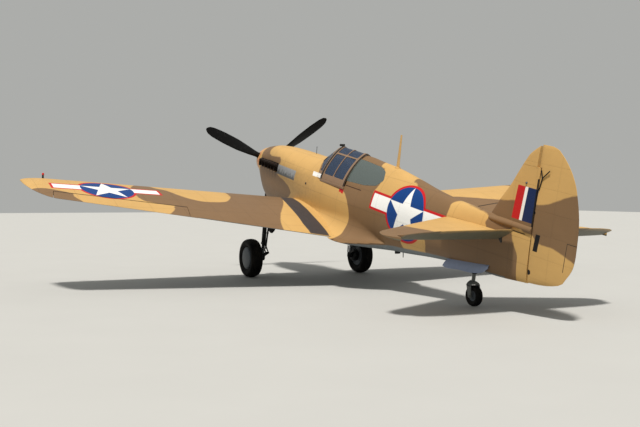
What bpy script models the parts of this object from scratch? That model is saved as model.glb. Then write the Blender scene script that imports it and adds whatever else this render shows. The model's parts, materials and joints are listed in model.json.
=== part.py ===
"""Single-seat low-wing fighter monoplane, parked on its two main wheels and its tail wheel.

Every shape is written in the airframe's own axes, in metres: x to port, y aft of the spinner's tip
and z above the propeller's axis. One empty, "airframe", turns them nose-up onto the ground.
"""
import math

import bmesh
import bpy
import numpy as np
from mathutils import Euler, Matrix, Vector

# Driving dimensions
HALF_SPAN = 5.685
ROOT_CHORD = 2.743
TIP_CHORD = 1.37
LEADING_EDGE = 2.45
LEADING_SWEEP = 0.130
TIP_ROUND = 0.40
TIP_FULLNESS = 1.9
TIP_MIDDLE = 0.22
WING_HEIGHT = -0.769
WING_TWIST_POINT = 5.19
DIHEDRAL = math.radians(6.0)
ROOT_INCIDENCE = math.radians(2.5)
TIP_INCIDENCE = math.radians(1.2)
ROOT_THICKNESS = 0.15
TIP_THICKNESS = 0.09

SPINNER_LENGTH = 0.585
SPINNER_RADIUS = 0.325
COWL_FRONT = 0.600
INTAKE_BACK = 1.450
FIREWALL = 2.450
COOLING_FLAPS = 7
COOLING_FLAP_PITCH = 0.25
STERN = 9.335
FAIRING_HEIGHT = 0.381

PROPELLER_RADIUS = 1.676
PROPELLER_PLANE = 0.430
PROPELLER_ANGLE = math.radians(66.7)

TYRE_RADIUS = 0.381
TYRE_WIDTH = 0.240
WHEEL_Y = 2.680
WHEEL_Z = -1.640
HALF_TRACK = 1.250
LEG_X = 1.000
LEG_WELL_ROOF = -0.680
WHEEL_WELL_ROOF = -0.655
WHEEL_STEPS = 32
HUB_RADIUS = 0.217
HUB_INSIDE = 0.085
AXLE_RADIUS = 0.030
TAIL_TYRE_RADIUS = 0.159
TAIL_TYRE_WIDTH = 0.110
TAIL_WHEEL_Y = 8.220
TAIL_WHEEL_Z = -0.855
TAIL_AXLE_RADIUS = 0.014
SWIVEL_Y = 8.160
FORK_CROWN = -0.640
FORK_HALF = 0.088

SILL = 0.160
HOOD_FRONT = 3.800
HOOD_REAR = 4.700
WINDSHIELD_FRONT = 3.220
COCKPIT_FRONT = 3.620
DECK_FRONT = 4.720
COCKPIT_FLOOR = -0.390

RUDDER_HINGE = 9.370
HORN_BASE = 1.250
HORN_REACH = 0.085
ELEVATOR_HINGE = 8.780
ELEVATOR_HEIGHT = 0.195
ELEVATOR_UP = math.radians(24.0)
ELEVATOR_INNER = 0.135
ELEVATOR_OUTER = 1.800
AILERON_INNER = (3.120, 4.078)
AILERON_OUTER = (5.300, 3.704)
JACK_PAD = (1.500, 3.000, -0.656)
LAMP_X = 5.300
LAMP_Y = 2.680
PITOT_X = 5.050
FLAP_INNER = 0.620
FLAP_OUTER = 3.060
FLAP_CHORD = 0.19
FLAP_LIP = 0.030
FLAP_PLATE = 0.010

# Gaps: between solids that touch, and round pieces that move; and how much an aileron's nose ends short
SEAT = 0.0003
RUNNING = 0.0075
BEARING = 0.0006
NOSE_SHORT = 0.001

SAND = (0.58, 0.36, 0.16, 1.0)
BROWN = (0.20, 0.13, 0.08, 1.0)
GREY = (0.36, 0.40, 0.44, 1.0)
DARK = (0.025, 0.025, 0.027, 1.0)
STEEL = (0.34, 0.34, 0.35, 1.0)
SILVER = (0.52, 0.54, 0.56, 1.0)
GREEN = (0.16, 0.20, 0.10, 1.0)
GLASS = (0.30, 0.36, 0.36, 1.0)

# Span stations that the wing's own rings share with the rooms cut for it
WING_STEPS = (0.8, 1.6, 2.6, 3.6)

# Turns round the body's axis at which its rings have their points, from the top round by port
RING_TURNS = np.linspace(0.0, 2.0 * np.pi, 32, endpoint=False)

# Fuselage and cowling: y, top, bottom, half-width, height of the greatest width,
# and how square the section is above and below that height (2 is an ellipse)
BODY_STATIONS = np.array([
    (0.600, 0.350, -0.350, 0.340, 0.00, 2.0, 2.0),
    (0.700, 0.372, -0.560, 0.355, 0.00, 2.0, 2.2),
    (0.820, 0.395, -0.720, 0.372, 0.00, 2.0, 2.4),
    (1.000, 0.425, -0.820, 0.395, -0.02, 2.0, 2.5),
    (1.400, 0.462, -0.905, 0.428, -0.05, 2.1, 2.5),
    (1.900, 0.480, -0.930, 0.450, -0.08, 2.1, 2.5),
    (2.450, 0.485, -0.900, 0.470, -0.12, 2.1, 2.4),
    (3.100, 0.485, -0.900, 0.483, -0.15, 2.1, 2.4),
    (3.620, 0.520, -0.900, 0.486, -0.15, 2.0, 2.4),
    (4.200, 0.660, -0.890, 0.484, -0.14, 1.7, 2.4),
    (4.720, 0.738, -0.850, 0.476, -0.12, 1.52, 2.4),
    (5.350, 0.712, -0.790, 0.446, -0.08, 1.55, 2.3),
    (5.800, 0.685, -0.738, 0.412, -0.05, 1.65, 2.25),
    (6.400, 0.612, -0.662, 0.352, -0.01, 1.80, 2.2),
    (7.000, 0.525, -0.570, 0.286, 0.02, 1.95, 2.1),
    (7.500, 0.480, -0.505, 0.224, 0.04, 2.0, 2.1),
    (8.100, 0.455, -0.452, 0.158, 0.05, 2.1, 2.1),
    (8.700, 0.445, -0.425, 0.098, 0.05, 2.3, 2.2),
    (STERN, 0.440, -0.352, 0.056, 0.05, 2.6, 2.4)])

# Wing-root fillet: y, how far it stands out from the body's side, and the height of its foot
FILLET_STATIONS = np.array([
    (2.450, 0.000, -0.560), (2.900, 0.045, -0.520), (3.500, 0.115, -0.530), (4.100, 0.215, -0.575),
    (4.700, 0.330, -0.640), (5.100, 0.395, -0.690), (5.350, 0.370, -0.690), (5.600, 0.260, -0.650),
    (5.850, 0.110, -0.600), (6.050, 0.000, -0.560)])

# Vertical tail: z, y of the fin's leading edge, y of the rudder's trailing edge, half-thickness at the hinge
TAIL_STATIONS = np.array([
    (-0.338, 9.20, 9.360, 0.026), (-0.322, 9.20, 9.500, 0.030), (-0.300, 9.20, 9.640, 0.034),
    (-0.236, 9.20, 9.885, 0.040), (-0.093, 9.20, 10.046, 0.046), (0.032, 9.20, 10.124, 0.050),
    (0.188, 8.20, 10.154, 0.054), (0.320, 8.285, 10.154, 0.054), (0.464, 8.395, 10.149, 0.053),
    (0.698, 8.560, 10.122, 0.050), (0.923, 8.735, 10.058, 0.045), (1.151, 8.880, 9.962, 0.039),
    (1.306, 8.985, 9.850, 0.034), (1.400, 9.058, 9.757, 0.029), (1.480, 9.165, 9.655, 0.023),
    (1.528, 9.240, 9.576, 0.017), (1.554, 9.270, 9.470, 0.010)])

# Tailplane: x, leading edge y, trailing edge y of the elevator, half-thickness at the hinge
PLANE_STATIONS = np.array([
    (0.000, 7.420, 9.200, 0.048), (0.400, 7.625, 9.200, 0.046), (0.800, 7.830, 9.198, 0.043),
    (1.200, 8.038, 9.185, 0.038), (1.500, 8.195, 9.140, 0.033), (1.700, 8.298, 9.065, 0.028),
    (1.800, 8.355, 8.990, 0.024), (1.880, 8.425, 8.880, 0.019), (1.925, 8.505, 8.780, 0.012),
    (1.945, 8.590, 8.690, 0.006)])


def smooth(table, column, at):
    """Cubic through one column of a table of stations, with the slope at each station from its neighbours."""
    xs, ys = table[:, 0], table[:, column]
    slopes = np.gradient(ys, xs)
    at = np.clip(at, xs[0], xs[-1])
    i = np.clip(np.searchsorted(xs, at) - 1, 0, len(xs) - 2)
    h = xs[i + 1] - xs[i]
    t = (at - xs[i]) / h
    return ((1 + 2 * t) * (1 - t) ** 2 * ys[i] + t * (1 - t) ** 2 * h * slopes[i]
            + t * t * (3 - 2 * t) * ys[i + 1] + t * t * (t - 1) * h * slopes[i + 1])


def straight(table, column, at):
    """Straight lines through one column of a table of stations."""
    return np.interp(at, table[:, 0], table[:, column])


def ground_angle():
    """Nose-up angle at which both main wheels and the tail wheel stand on one plane."""
    run = TAIL_WHEEL_Y - WHEEL_Y
    rise = TAIL_WHEEL_Z - WHEEL_Z
    drop = TYRE_RADIUS - TAIL_TYRE_RADIUS
    return math.atan2(rise, run) + math.asin(drop / math.hypot(run, rise))


def body_section(y, grow=0.0, turn=RING_TURNS):
    """Points of the body's surface at station y and the given turns, grown outwards by grow."""
    top, bottom, half, middle, above, below = (float(smooth(BODY_STATIONS, k, y)) for k in range(1, 7))
    c, s = np.cos(turn), np.sin(turn)
    power = np.where(c > 0, above, below)
    x = (half + grow) * np.sign(s) * np.abs(s) ** (2.0 / power)
    reach = np.where(c > 0, top - middle + grow, middle - bottom + grow)
    z = middle + reach * np.sign(c) * np.abs(c) ** (2.0 / power)
    reach_out, foot = (float(smooth(FILLET_STATIONS, k, y)) for k in (1, 2))
    if FILLET_STATIONS[0, 0] < y < FILLET_STATIONS[-1, 0] and reach_out > 0.001:
        side = np.abs(x)
        level = np.clip(z - foot, 0.0, reach_out)
        arc = half + reach_out - np.sqrt(reach_out ** 2 - (reach_out - level) ** 2)
        side_at_foot = half * (1 - ((middle - foot) / (middle - bottom)) ** below) ** (1 / below)
        lower = side * (half + reach_out) / side_at_foot
        flared = np.where(z > foot, np.where(z < foot + reach_out, np.maximum(side, arc), side),
                          np.minimum(lower, half + reach_out))
        x = np.sign(x) * flared
    return np.column_stack([x, np.full(len(turn), y), z])


def aerofoil(thickness, camber=0.02, camber_at=0.2, points=12):
    """Heights above and below the chord at cosine-spaced places from nose to tail, as parts of the chord."""
    u = (1 - np.cos(np.linspace(0, np.pi, points))) / 2
    half = 5 * thickness * (0.2969 * np.sqrt(u) - 0.1260 * u - 0.3516 * u ** 2
                            + 0.2843 * u ** 3 - 0.1036 * u ** 4)
    fore = camber / camber_at ** 2 * (2 * camber_at * u - u * u)
    aft = camber / (1 - camber_at) ** 2 * (1 - 2 * camber_at + 2 * camber_at * u - u * u)
    line = np.where(u < camber_at, fore, aft)
    return u, line + half, line - half


def wing_edges(x):
    """y of the leading and trailing edges at span x, drawn in to a rounded tip."""
    lead = LEADING_EDGE + LEADING_SWEEP * x / HALF_SPAN
    chord = ROOT_CHORD + (TIP_CHORD - ROOT_CHORD) * x / HALF_SPAN
    out = np.clip((x - (HALF_SPAN - TIP_ROUND)) / TIP_ROUND, 0.0, 1.0)
    pull = 1 - math.sqrt(max(1 - out ** TIP_FULLNESS, 0.0))
    middle = lead + TIP_MIDDLE * chord
    return lead + (middle - lead) * pull, lead + chord + (middle - lead - chord) * pull


def wing_plane(x, y):
    """Height of the wing's chord surface, which is twisted a little nose-down towards the tip."""
    incidence = ROOT_INCIDENCE + (TIP_INCIDENCE - ROOT_INCIDENCE) * x / HALF_SPAN
    return WING_HEIGHT + x * math.tan(DIHEDRAL) - (y - WING_TWIST_POINT) * math.tan(incidence)


def wing_thickness(x):
    """Thickness as a part of the chord, with straight skin lines from root to tip."""
    share = x / HALF_SPAN
    chord = ROOT_CHORD + (TIP_CHORD - ROOT_CHORD) * share
    root, tip = ROOT_THICKNESS * ROOT_CHORD, TIP_THICKNESS * TIP_CHORD
    return (root + (tip - root) * share) / chord


def wing_lines(x, grow=0.0):
    """y, upper z and lower z along one wing section."""
    lead, trail = wing_edges(x)
    chord = trail - lead
    u, over, under = aerofoil(wing_thickness(x))
    y = lead - grow + (chord + 2 * grow) * u
    plane = wing_plane(x, y)
    blunt = 0.0025 * u
    return y, plane + chord * over + blunt + grow, plane + chord * under - blunt - grow


def wing_section(x, side, grow=0.0):
    """Closed ring of the wing at span x."""
    y, upper, lower = wing_lines(x, grow)
    ys = np.concatenate([y[::-1], y[1:]])
    zs = np.concatenate([upper[::-1], lower[1:]])
    return np.column_stack([np.full(len(ys), side * x), ys, zs])


def wing_stations():
    """Span stations of the wing's rings, closer together round the tip."""
    tip = HALF_SPAN - TIP_ROUND + TIP_ROUND * np.sin(np.linspace(0.35, 1.52, 6))
    return np.concatenate([[SEAT], WING_STEPS, [HALF_SPAN - TIP_ROUND], tip])


airframe = None
parts = None
cutters = None


def finish_mesh(bm, name):
    """Turn the faces outwards and write the mesh."""
    bmesh.ops.recalc_face_normals(bm, faces=bm.faces[:])
    mesh = bpy.data.meshes.new(name)
    bm.to_mesh(mesh)
    bm.free()
    return mesh


def loft(rings):
    """Skin of triangles through a stack of closed rings with the same number of points, both ends closed.

    Each four-sided patch is split from its outboard corner on the first ring, so that port and starboard
    match, and so that a skin and the same skin grown by a gap never cross.
    """
    bm = bmesh.new()
    rows = [[bm.verts.new(point) for point in ring] for ring in rings]
    count = len(rows[0])
    for near, far in zip(rows[:-1], rows[1:]):
        for i in range(count):
            j = (i + 1) % count
            if abs(near[j].co.x) > abs(near[i].co.x) + 1e-6:
                bm.faces.new((near[i], near[j], far[i]))
                bm.faces.new((near[j], far[j], far[i]))
            else:
                bm.faces.new((near[i], near[j], far[j]))
                bm.faces.new((near[i], far[j], far[i]))
    bm.faces.new(rows[0][::-1])
    bm.faces.new(rows[-1])
    return finish_mesh(bm, "loft")


def block(low, high):
    """Box between two corners."""
    bm = bmesh.new()
    bmesh.ops.create_cube(bm, size=1.0)
    low, high = Vector(low), Vector(high)
    size = high - low
    bmesh.ops.transform(bm, matrix=Matrix.Translation((low + high) / 2) @ Matrix.Diagonal((*size, 1.0)),
                        verts=bm.verts[:])
    return finish_mesh(bm, "block")


def rod(start, end, radius, end_radius=None, sides=16):
    """Closed cylinder or cone between two points."""
    start, end = Vector(start), Vector(end)
    run = end - start
    bm = bmesh.new()
    bmesh.ops.create_cone(bm, cap_ends=True, segments=sides, radius1=radius,
                          radius2=radius if end_radius is None else end_radius, depth=run.length)
    turn = run.to_track_quat("Z", "Y").to_matrix().to_4x4()
    bmesh.ops.transform(bm, matrix=Matrix.Translation((start + end) / 2) @ turn, verts=bm.verts[:])
    return finish_mesh(bm, "rod")


def prism(outline, low, high, axis="z"):
    """Flat outline of (a, b) points carried from low to high along one axis."""
    place = {"x": lambda a, b, c: (c, a, b),
             "y": lambda a, b, c: (a, c, b),
             "z": lambda a, b, c: (a, b, c)}[axis]
    return loft([[place(a, b, level) for a, b in outline] for level in (low, high)])


def add(name, mesh, origin=(0.0, 0.0, 0.0), material=None, collection=None, parent=None):
    """Object from a mesh in the airframe's axes, with its own origin at the given point."""
    mesh.transform(Matrix.Translation(-Vector(origin)))
    obj = bpy.data.objects.new(name, mesh)
    obj.location = origin
    obj.parent = parent or airframe
    (collection or parts).objects.link(obj)
    if material:
        mesh.materials.append(material)
        for face in mesh.polygons:
            face.use_smooth = True
        mesh.set_sharp_from_angle(angle=math.radians(32))
    return obj


def tool(name, mesh):
    """Hidden object that cuts, joins or trims others."""
    obj = add(name, mesh, collection=cutters)
    obj.hide_render = True
    obj.display_type = "WIRE"
    return obj


def combine(obj, other, operation):
    """Exact Boolean of obj with a hidden tool."""
    step = obj.modifiers.new(f"{operation.lower()} {other.name}", "BOOLEAN")
    step.operation = operation
    step.object = other
    step.solver = "EXACT"


def cut(obj, *others):
    for other in others:
        combine(obj, other, "DIFFERENCE")


def fuse(obj, *others):
    for other in others:
        combine(obj, other, "UNION")


def keep_inside(obj, other):
    combine(obj, other, "INTERSECT")


def paint(name, colour, roughness=0.55, metallic=0.0):
    """Principled material of one node."""
    material = bpy.data.materials.new(name)
    material.use_nodes = True
    shader = material.node_tree.nodes["Principled BSDF"]
    shader.inputs["Base Color"].default_value = colour
    shader.inputs["Roughness"].default_value = roughness
    shader.inputs["Metallic"].default_value = metallic
    material.diffuse_color = colour
    return material


def turned(name, profile, origin, turn, material, steps=40, closed=False):
    """Turned solid: a profile of (radius, height) points, outer side first and from the top down."""
    mesh = bpy.data.meshes.new(name)
    edges = [(k, k + 1) for k in range(len(profile) - 1)]
    if closed:
        edges.append((len(profile) - 1, 0))
    mesh.from_pydata([(r, 0.0, z) for r, z in profile], edges, [])
    mesh.materials.append(material)
    obj = bpy.data.objects.new(name, mesh)
    obj.location = origin
    obj.rotation_euler = turn
    obj.parent = airframe
    parts.objects.link(obj)
    screw = obj.modifiers.new("turn", "SCREW")
    screw.axis = "Z"
    screw.steps = steps
    screw.render_steps = steps
    screw.use_merge_vertices = True
    screw.merge_threshold = 0.0001
    screw.use_smooth_shade = True
    return obj


def arch(y, half, base, top, points=15, square=2.2):
    """Open arch of the glazing from port foot over the top to starboard foot."""
    turn = np.linspace(0.0, np.pi, points)
    c, s = np.cos(turn), np.sin(turn)
    x = half * np.sign(c) * np.abs(c) ** (2 / square)
    z = base + (top - base) * np.abs(s) ** (2 / square)
    return np.column_stack([x, np.full(points, y), z])


def arch_shell(stations, depth_out, depth_in):
    """Curved shell between two depths inside the glazing's outer line. A station is y, half, base, top."""
    rings = []
    for y, half, base, top in stations:
        outer = arch(y, half - depth_out, base, top - depth_out)
        inner = arch(y, half - depth_in, base, top - depth_in)
        rings.append(np.concatenate([outer, inner[::-1]]))
    return loft(rings)


# Stations of the body's rings, closer together where the chin turns quickly
BODY_STEPS = np.concatenate([np.arange(0.6, 1.05, 0.1), np.arange(1.1, 2.4, 0.27), np.arange(2.45, 9.2, 0.27),
                             [STERN, STERN + 0.3]])


def body_ring(y, grow):
    """Ring at any station, on the straight lines between the two rings beside it."""
    k = int(np.clip(np.searchsorted(BODY_STEPS, y, side="right") - 1, 0, len(BODY_STEPS) - 2))
    share = (y - BODY_STEPS[k]) / (BODY_STEPS[k + 1] - BODY_STEPS[k])
    return (1 - share) * body_section(BODY_STEPS[k], grow) + share * body_section(BODY_STEPS[k + 1], grow)


def body_mesh(first, last, grow=0.0):
    """Closed body between two stations, grown outwards by grow."""
    inner = [y for y in BODY_STEPS if first + 0.02 < y < last - 0.02]
    return loft([body_ring(first, grow)] + [body_section(y, grow) for y in inner] + [body_ring(last, grow)])


def stern_fairing(grow=0.0):
    """Round fairing along the top of the stern, both sides of the fin's foot, from y, half-width and half-height."""
    turn = np.linspace(0.0, 2.0 * np.pi, 20, endpoint=False) + 0.05
    rings = []
    for y, wide, tall in ((8.400, 0.030, 0.030), (8.545, 0.081, 0.053), (8.800, 0.092, 0.062),
                          (STERN + 0.002, 0.078, 0.062)):
        rings.append(np.column_stack([(wide + grow) * np.sin(turn), np.full(20, y),
                                      FAIRING_HEIGHT + (tall + grow) * np.cos(turn)]))
    return loft(rings)


def build_fuselage():
    """Body aft of the firewall, hollow at the cockpit, with the wing's and the tailplane's places cut out."""
    body = add("fuselage", body_mesh(FIREWALL + SEAT, STERN), material=paint("fuselage", SAND))
    rails = [tool(f"rail {side}", block((min(side * 0.395, side * 0.452), HOOD_FRONT, 0.120),
                                        (max(side * 0.395, side * 0.452), 5.430, SILL + 0.005 - SEAT)))
             for side in (1, -1)]
    for side, word in ((1, "port"), (-1, "starboard")):
        rings = []
        for x in (-0.010, SEAT, *WING_STEPS[:2]):
            y, upper, _ = wing_lines(max(x, SEAT), SEAT)
            top = np.column_stack([np.full(len(y), side * x), y[::-1], upper[::-1]])
            rings.append(np.concatenate([top, [(side * x, y[0], -2.0), (side * x, y[-1], -2.0)]]))
        cut(body, tool(f"wing room {word}", loft(rings)))
    cut(body, tool("tailplane room", loft([plane_section(x, SEAT) for x in (-0.6, -0.3, 0.0, 0.3, 0.6)])))
    half, wide, high = 0.375, 0.600, 1.200
    well = [(-half, COCKPIT_FLOOR), (half, COCKPIT_FLOOR), (half, SILL), (wide, SILL), (wide, high), (-wide, high),
            (-wide, SILL), (-half, SILL)]
    cut(body, tool("cockpit room", prism(well, COCKPIT_FRONT, DECK_FRONT, "y")))
    cut(body, tool("foot room", block((-0.30, 2.95, COCKPIT_FLOOR), (0.30, COCKPIT_FRONT + 0.05, 0.25))))
    fuse(body, *rails)
    for side, word in ((1, "port"), (-1, "starboard")):
        low = (min(side * 0.115, side * 0.7), DECK_FRONT - 0.1, 0.315)
        high = (max(side * 0.115, side * 0.7), 5.700, 0.660)
        cut(body, tool(f"quarter window room {word}", block(low, high)))
    cut(body, tool("tail wheel room", block((-0.070, 7.700, -0.70), (0.070, 8.450, -0.240))))
    fuse(body, tool("stern fairing", stern_fairing()))
    cut(body, tool("rudder room", rudder_shape(RUNNING)))
    fuse(body, tool("elevator pins", rod((-0.200, ELEVATOR_HINGE, ELEVATOR_HEIGHT),
                                         (0.200, ELEVATOR_HINGE, ELEVATOR_HEIGHT), 0.016)))
    fuse(body, tool("rudder bracket", block((-0.012, STERN - 0.065, -0.190),
                                       (0.012, RUDDER_HINGE + 0.018, -0.176))))
    fuse(body, tool("rudder pin", rod((0, RUDDER_HINGE, -0.183), (0, RUDDER_HINGE, -0.130), 0.007, sides=16)))
    fuse(body, tool("tail leg boss", rod((0, SWIVEL_Y, -0.200), (0, SWIVEL_Y, -0.300), 0.045)))
    return body


def build_cowling():
    """Engine cowling with its chin intake, hollow behind for the engine."""
    cowl = add("cowling", body_mesh(COWL_FRONT, FIREWALL), material=paint("cowling", SAND))
    cut(cowl, tool("engine room", rod((0, 1.0, 0.01), (0, FIREWALL + 0.1, 0.01), 0.345, sides=28)))
    cut(cowl, tool("shaft room", rod((0, 0.4, 0), (0, 1.1, 0), 0.075)))
    rings = []
    for y, half, tall, height in ((0.40, 0.29, 0.150, -0.520), (0.80, 0.29, 0.150, -0.540),
                                  (INTAKE_BACK, 0.33, 0.200, -0.610)):
        turn = np.linspace(0, 2 * np.pi, 24, endpoint=False)
        c, s = np.cos(turn), np.sin(turn)
        rings.append(np.column_stack([half * np.sign(s) * np.abs(s) ** 0.8, np.full(24, y),
                                      height + tall * np.sign(c) * np.abs(c) ** 0.8]))
    cut(cowl, tool("intake", loft(rings)))
    for side, word in ((1, "port"), (-1, "starboard")):
        low = (min(side * 0.385, side * 0.6), 0.860, -0.020)
        high = (max(side * 0.385, side * 0.6), 1.840, 0.100)
        cut(cowl, tool(f"exhaust room {word}", block(low, high)))
    for k in range(COOLING_FLAPS):
        middle = math.pi + (k - (COOLING_FLAPS - 1) / 2) * COOLING_FLAP_PITCH
        turn = middle + np.linspace(-0.46, 0.46, 4) * COOLING_FLAP_PITCH
        rings = [np.concatenate([body_section(y, stand, turn), body_section(y, -0.030, turn[::-1])])
                 for y, stand in ((FIREWALL - 0.310, -0.006), (FIREWALL - SEAT, 0.050))]
        fuse(cowl, tool(f"cooling flap {k}", loft(rings)))
    return cowl


def build_radiators():
    """Two round radiators and a smaller oil cooler on a plate at the back of the chin intake."""
    plate = add("radiators", block((-0.250, INTAKE_BACK - 0.040, -0.720), (0.250, INTAKE_BACK - SEAT, -0.485)),
                material=paint("radiators", STEEL, 0.5, 0.8))
    for name, x, z, radius in (("port radiator", 0.130, -0.620, 0.120), ("starboard radiator", -0.130, -0.620, 0.120),
                               ("oil cooler", 0.0, -0.470, 0.056)):
        fuse(plate, tool(name, rod((x, INTAKE_BACK - 0.150, z), (x, INTAKE_BACK - 0.010, z), radius, sides=24)))


def build_engine():
    """Engine block on the firewall, with the propeller's shaft."""
    engine = add("engine_block", block((-0.200, 1.040, -0.240), (0.200, FIREWALL, 0.250)),
                 material=paint("engine_block", STEEL, 0.5, 0.7))
    fuse(engine, tool("shaft", rod((0, SPINNER_LENGTH + SEAT, 0), (0, 1.2, 0), 0.060)))


def build_exhausts():
    """Six short stubs on each side of the cowling, on one strip."""
    for side, word in ((1, "left"), (-1, "right")):
        low = (min(side * (0.385 + SEAT), side * 0.410), 0.880, -0.005)
        high = (max(side * (0.385 + SEAT), side * 0.410), 1.820, 0.085)
        strip = add(f"exhaust_{word}", block(low, high), material=paint(f"exhaust_{word}", DARK, 0.7, 0.6))
        for k in range(6):
            y = 0.930 + 0.155 * k
            stub = prism([(side * 0.395, y), (side * 0.505, y + 0.075), (side * 0.500, y + 0.125),
                          (side * 0.395, y + 0.080)], 0.008, 0.072)
            fuse(strip, tool(f"stub {word} {k}", stub))


def blade_section(radius):
    """Ring of the blade at a radius, with the blade pointing along +z and the shaft along y."""
    share = (radius - 0.20) / (PROPELLER_RADIUS - 0.20)
    chord = float(np.interp(share, [0, 0.10, 0.22, 0.45, 0.70, 0.88, 0.96, 1.0],
                            [0.120, 0.125, 0.185, 0.262, 0.255, 0.205, 0.135, 0.030]))
    thick = float(np.interp(share, [0, 0.10, 0.22, 0.45, 0.7, 1.0], [0.120, 0.105, 0.062, 0.036, 0.024, 0.010]))
    twist = math.radians(float(np.interp(share, [0, 0.3, 1.0], [62, 50, 24])))
    turn = np.linspace(0, 2 * np.pi, 12, endpoint=False)
    across = chord / 2 * np.cos(turn)
    through = thick / 2 * np.sin(turn)
    x = across * math.cos(twist) - through * math.sin(twist)
    y = PROPELLER_PLANE + across * math.sin(twist) + through * math.cos(twist)
    return np.column_stack([x, y, np.full(12, radius)])


def build_propeller():
    """Spinner and three blades, turning together about the y axis."""
    shares = np.linspace(0, 1, 9)
    ogive = [(SPINNER_RADIUS * (1 - (1 - t) ** 1.9) ** 0.75, -SPINNER_LENGTH * t) for t in shares]
    spinner = turned("spinner", ogive + [(0.0, -SPINNER_LENGTH)], (0, 0, 0), Euler((math.pi / 2, 0, 0)),
                     paint("spinner", SAND), steps=28)
    radii = [0.150, 0.200, 0.340, 0.480, 0.720, 0.960, 1.200, 1.440, 1.560, 1.630, PROPELLER_RADIUS]
    for k in range(3):
        angle = PROPELLER_ANGLE - k * 2 * math.pi / 3
        mesh = loft([blade_section(radius) for radius in radii])
        blade = add(f"blade_{k + 1}", mesh, material=paint(f"blade_{k + 1}", DARK, 0.45))
        blade.rotation_euler = (0, angle, 0)
        socket = tool(f"blade socket {k + 1}", rod((0, PROPELLER_PLANE, 0.150 - SEAT), (0, PROPELLER_PLANE, 0.5),
                                                   0.068, sides=24))
        socket.rotation_euler = (0, angle, 0)
        cut(spinner, socket)


def wheel_turn(side):
    """Turn that lays a wheel's profile on its axle, outer face away from the body."""
    return Euler((0, side * math.pi / 2, 0))


def tyre_profile(radius, width, bore):
    """Closed section of a tyre, from its outer top corner down and back up inside."""
    half = width / 2
    turn = np.linspace(np.pi / 2, -np.pi / 2, 7)
    side = (radius - bore) * 0.5
    middle = bore + side
    outer = [(middle + side * math.cos(t) ** 0.6, half * math.sin(t)) for t in turn]
    return outer + [(bore, -half * 0.62), (bore, half * 0.62)]


def build_main_wheels():
    """Main legs, wheels with their outer discs, and tyres."""
    rim = HUB_RADIUS - SEAT * 3
    for side, word in ((1, "left"), (-1, "right")):
        centre = (side * HALF_TRACK, WHEEL_Y, WHEEL_Z)
        turned(f"tyre_{word}", tyre_profile(TYRE_RADIUS, TYRE_WIDTH, HUB_RADIUS), centre, wheel_turn(side),
               paint(f"tyre_{word}", DARK, 0.85), steps=WHEEL_STEPS, closed=True)
        profile = [(0.0, 0.122), (0.100, 0.119), (0.170, 0.110), (rim, 0.095), (rim, -HUB_INSIDE),
                   (0.190, -HUB_INSIDE), (0.150, -0.050), (0.0, -0.050)]
        hub = turned(f"hub_{word}", profile, centre, wheel_turn(side), paint(f"hub_{word}", SILVER, 0.4, 0.3),
                     steps=WHEEL_STEPS)
        bearing = sorted((side * (LEG_X + 0.05), side * 1.290))
        cut(hub, tool(f"axle room {word}", rod((bearing[0], WHEEL_Y, WHEEL_Z), (bearing[1], WHEEL_Y, WHEEL_Z),
                                               AXLE_RADIUS + BEARING, sides=28)))
        leg = add(f"main_leg_{word}", rod((side * LEG_X, WHEEL_Y, -0.960 - SEAT), (side * LEG_X, WHEEL_Y, -1.360),
                                          0.055), material=paint(f"main_leg_{word}", GREY, 0.4, 0.4))
        fuse(leg, tool(f"oleo {word}", rod((side * LEG_X, WHEEL_Y, -1.2), (side * LEG_X, WHEEL_Y, WHEEL_Z - 0.045),
                                           0.036)))
        fuse(leg, tool(f"axle {word}", rod((side * (LEG_X - 0.02), WHEEL_Y, WHEEL_Z),
                                           (side * 1.285, WHEEL_Y, WHEEL_Z), AXLE_RADIUS, sides=28)))
        fuse(leg, tool(f"brake {word}", rod((side * (LEG_X + 0.02), WHEEL_Y, WHEEL_Z),
                                            (side * (HALF_TRACK - 0.050 - BEARING), WHEEL_Y, WHEEL_Z), 0.060)))
        upper = [(WHEEL_Y + 0.02, -1.330), (WHEEL_Y + 0.150, -1.440), (WHEEL_Y + 0.150, -1.480),
                 (WHEEL_Y + 0.02, -1.560), (WHEEL_Y + 0.02, -1.520), (WHEEL_Y + 0.115, -1.460),
                 (WHEEL_Y + 0.02, -1.370)]
        link = sorted((side * (LEG_X - 0.022), side * (LEG_X + 0.022)))
        fuse(leg, tool(f"torque link {word}", prism(upper, link[0], link[1], "x")))
        strut = rod((side * LEG_X, WHEEL_Y + 0.02, -1.300), (side * LEG_X, WHEEL_Y + 0.250, LEG_WELL_ROOF + 0.04),
                    0.018, sides=12)
        fuse(leg, tool(f"drag strut {word}", strut))
        cut(leg, tool(f"leg well roof {word}", block((side * LEG_X - 0.1, WHEEL_Y + 0.1, LEG_WELL_ROOF - SEAT),
                                                     (side * LEG_X + 0.1, WHEEL_Y + 0.5, LEG_WELL_ROOF + 0.2))))


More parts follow.
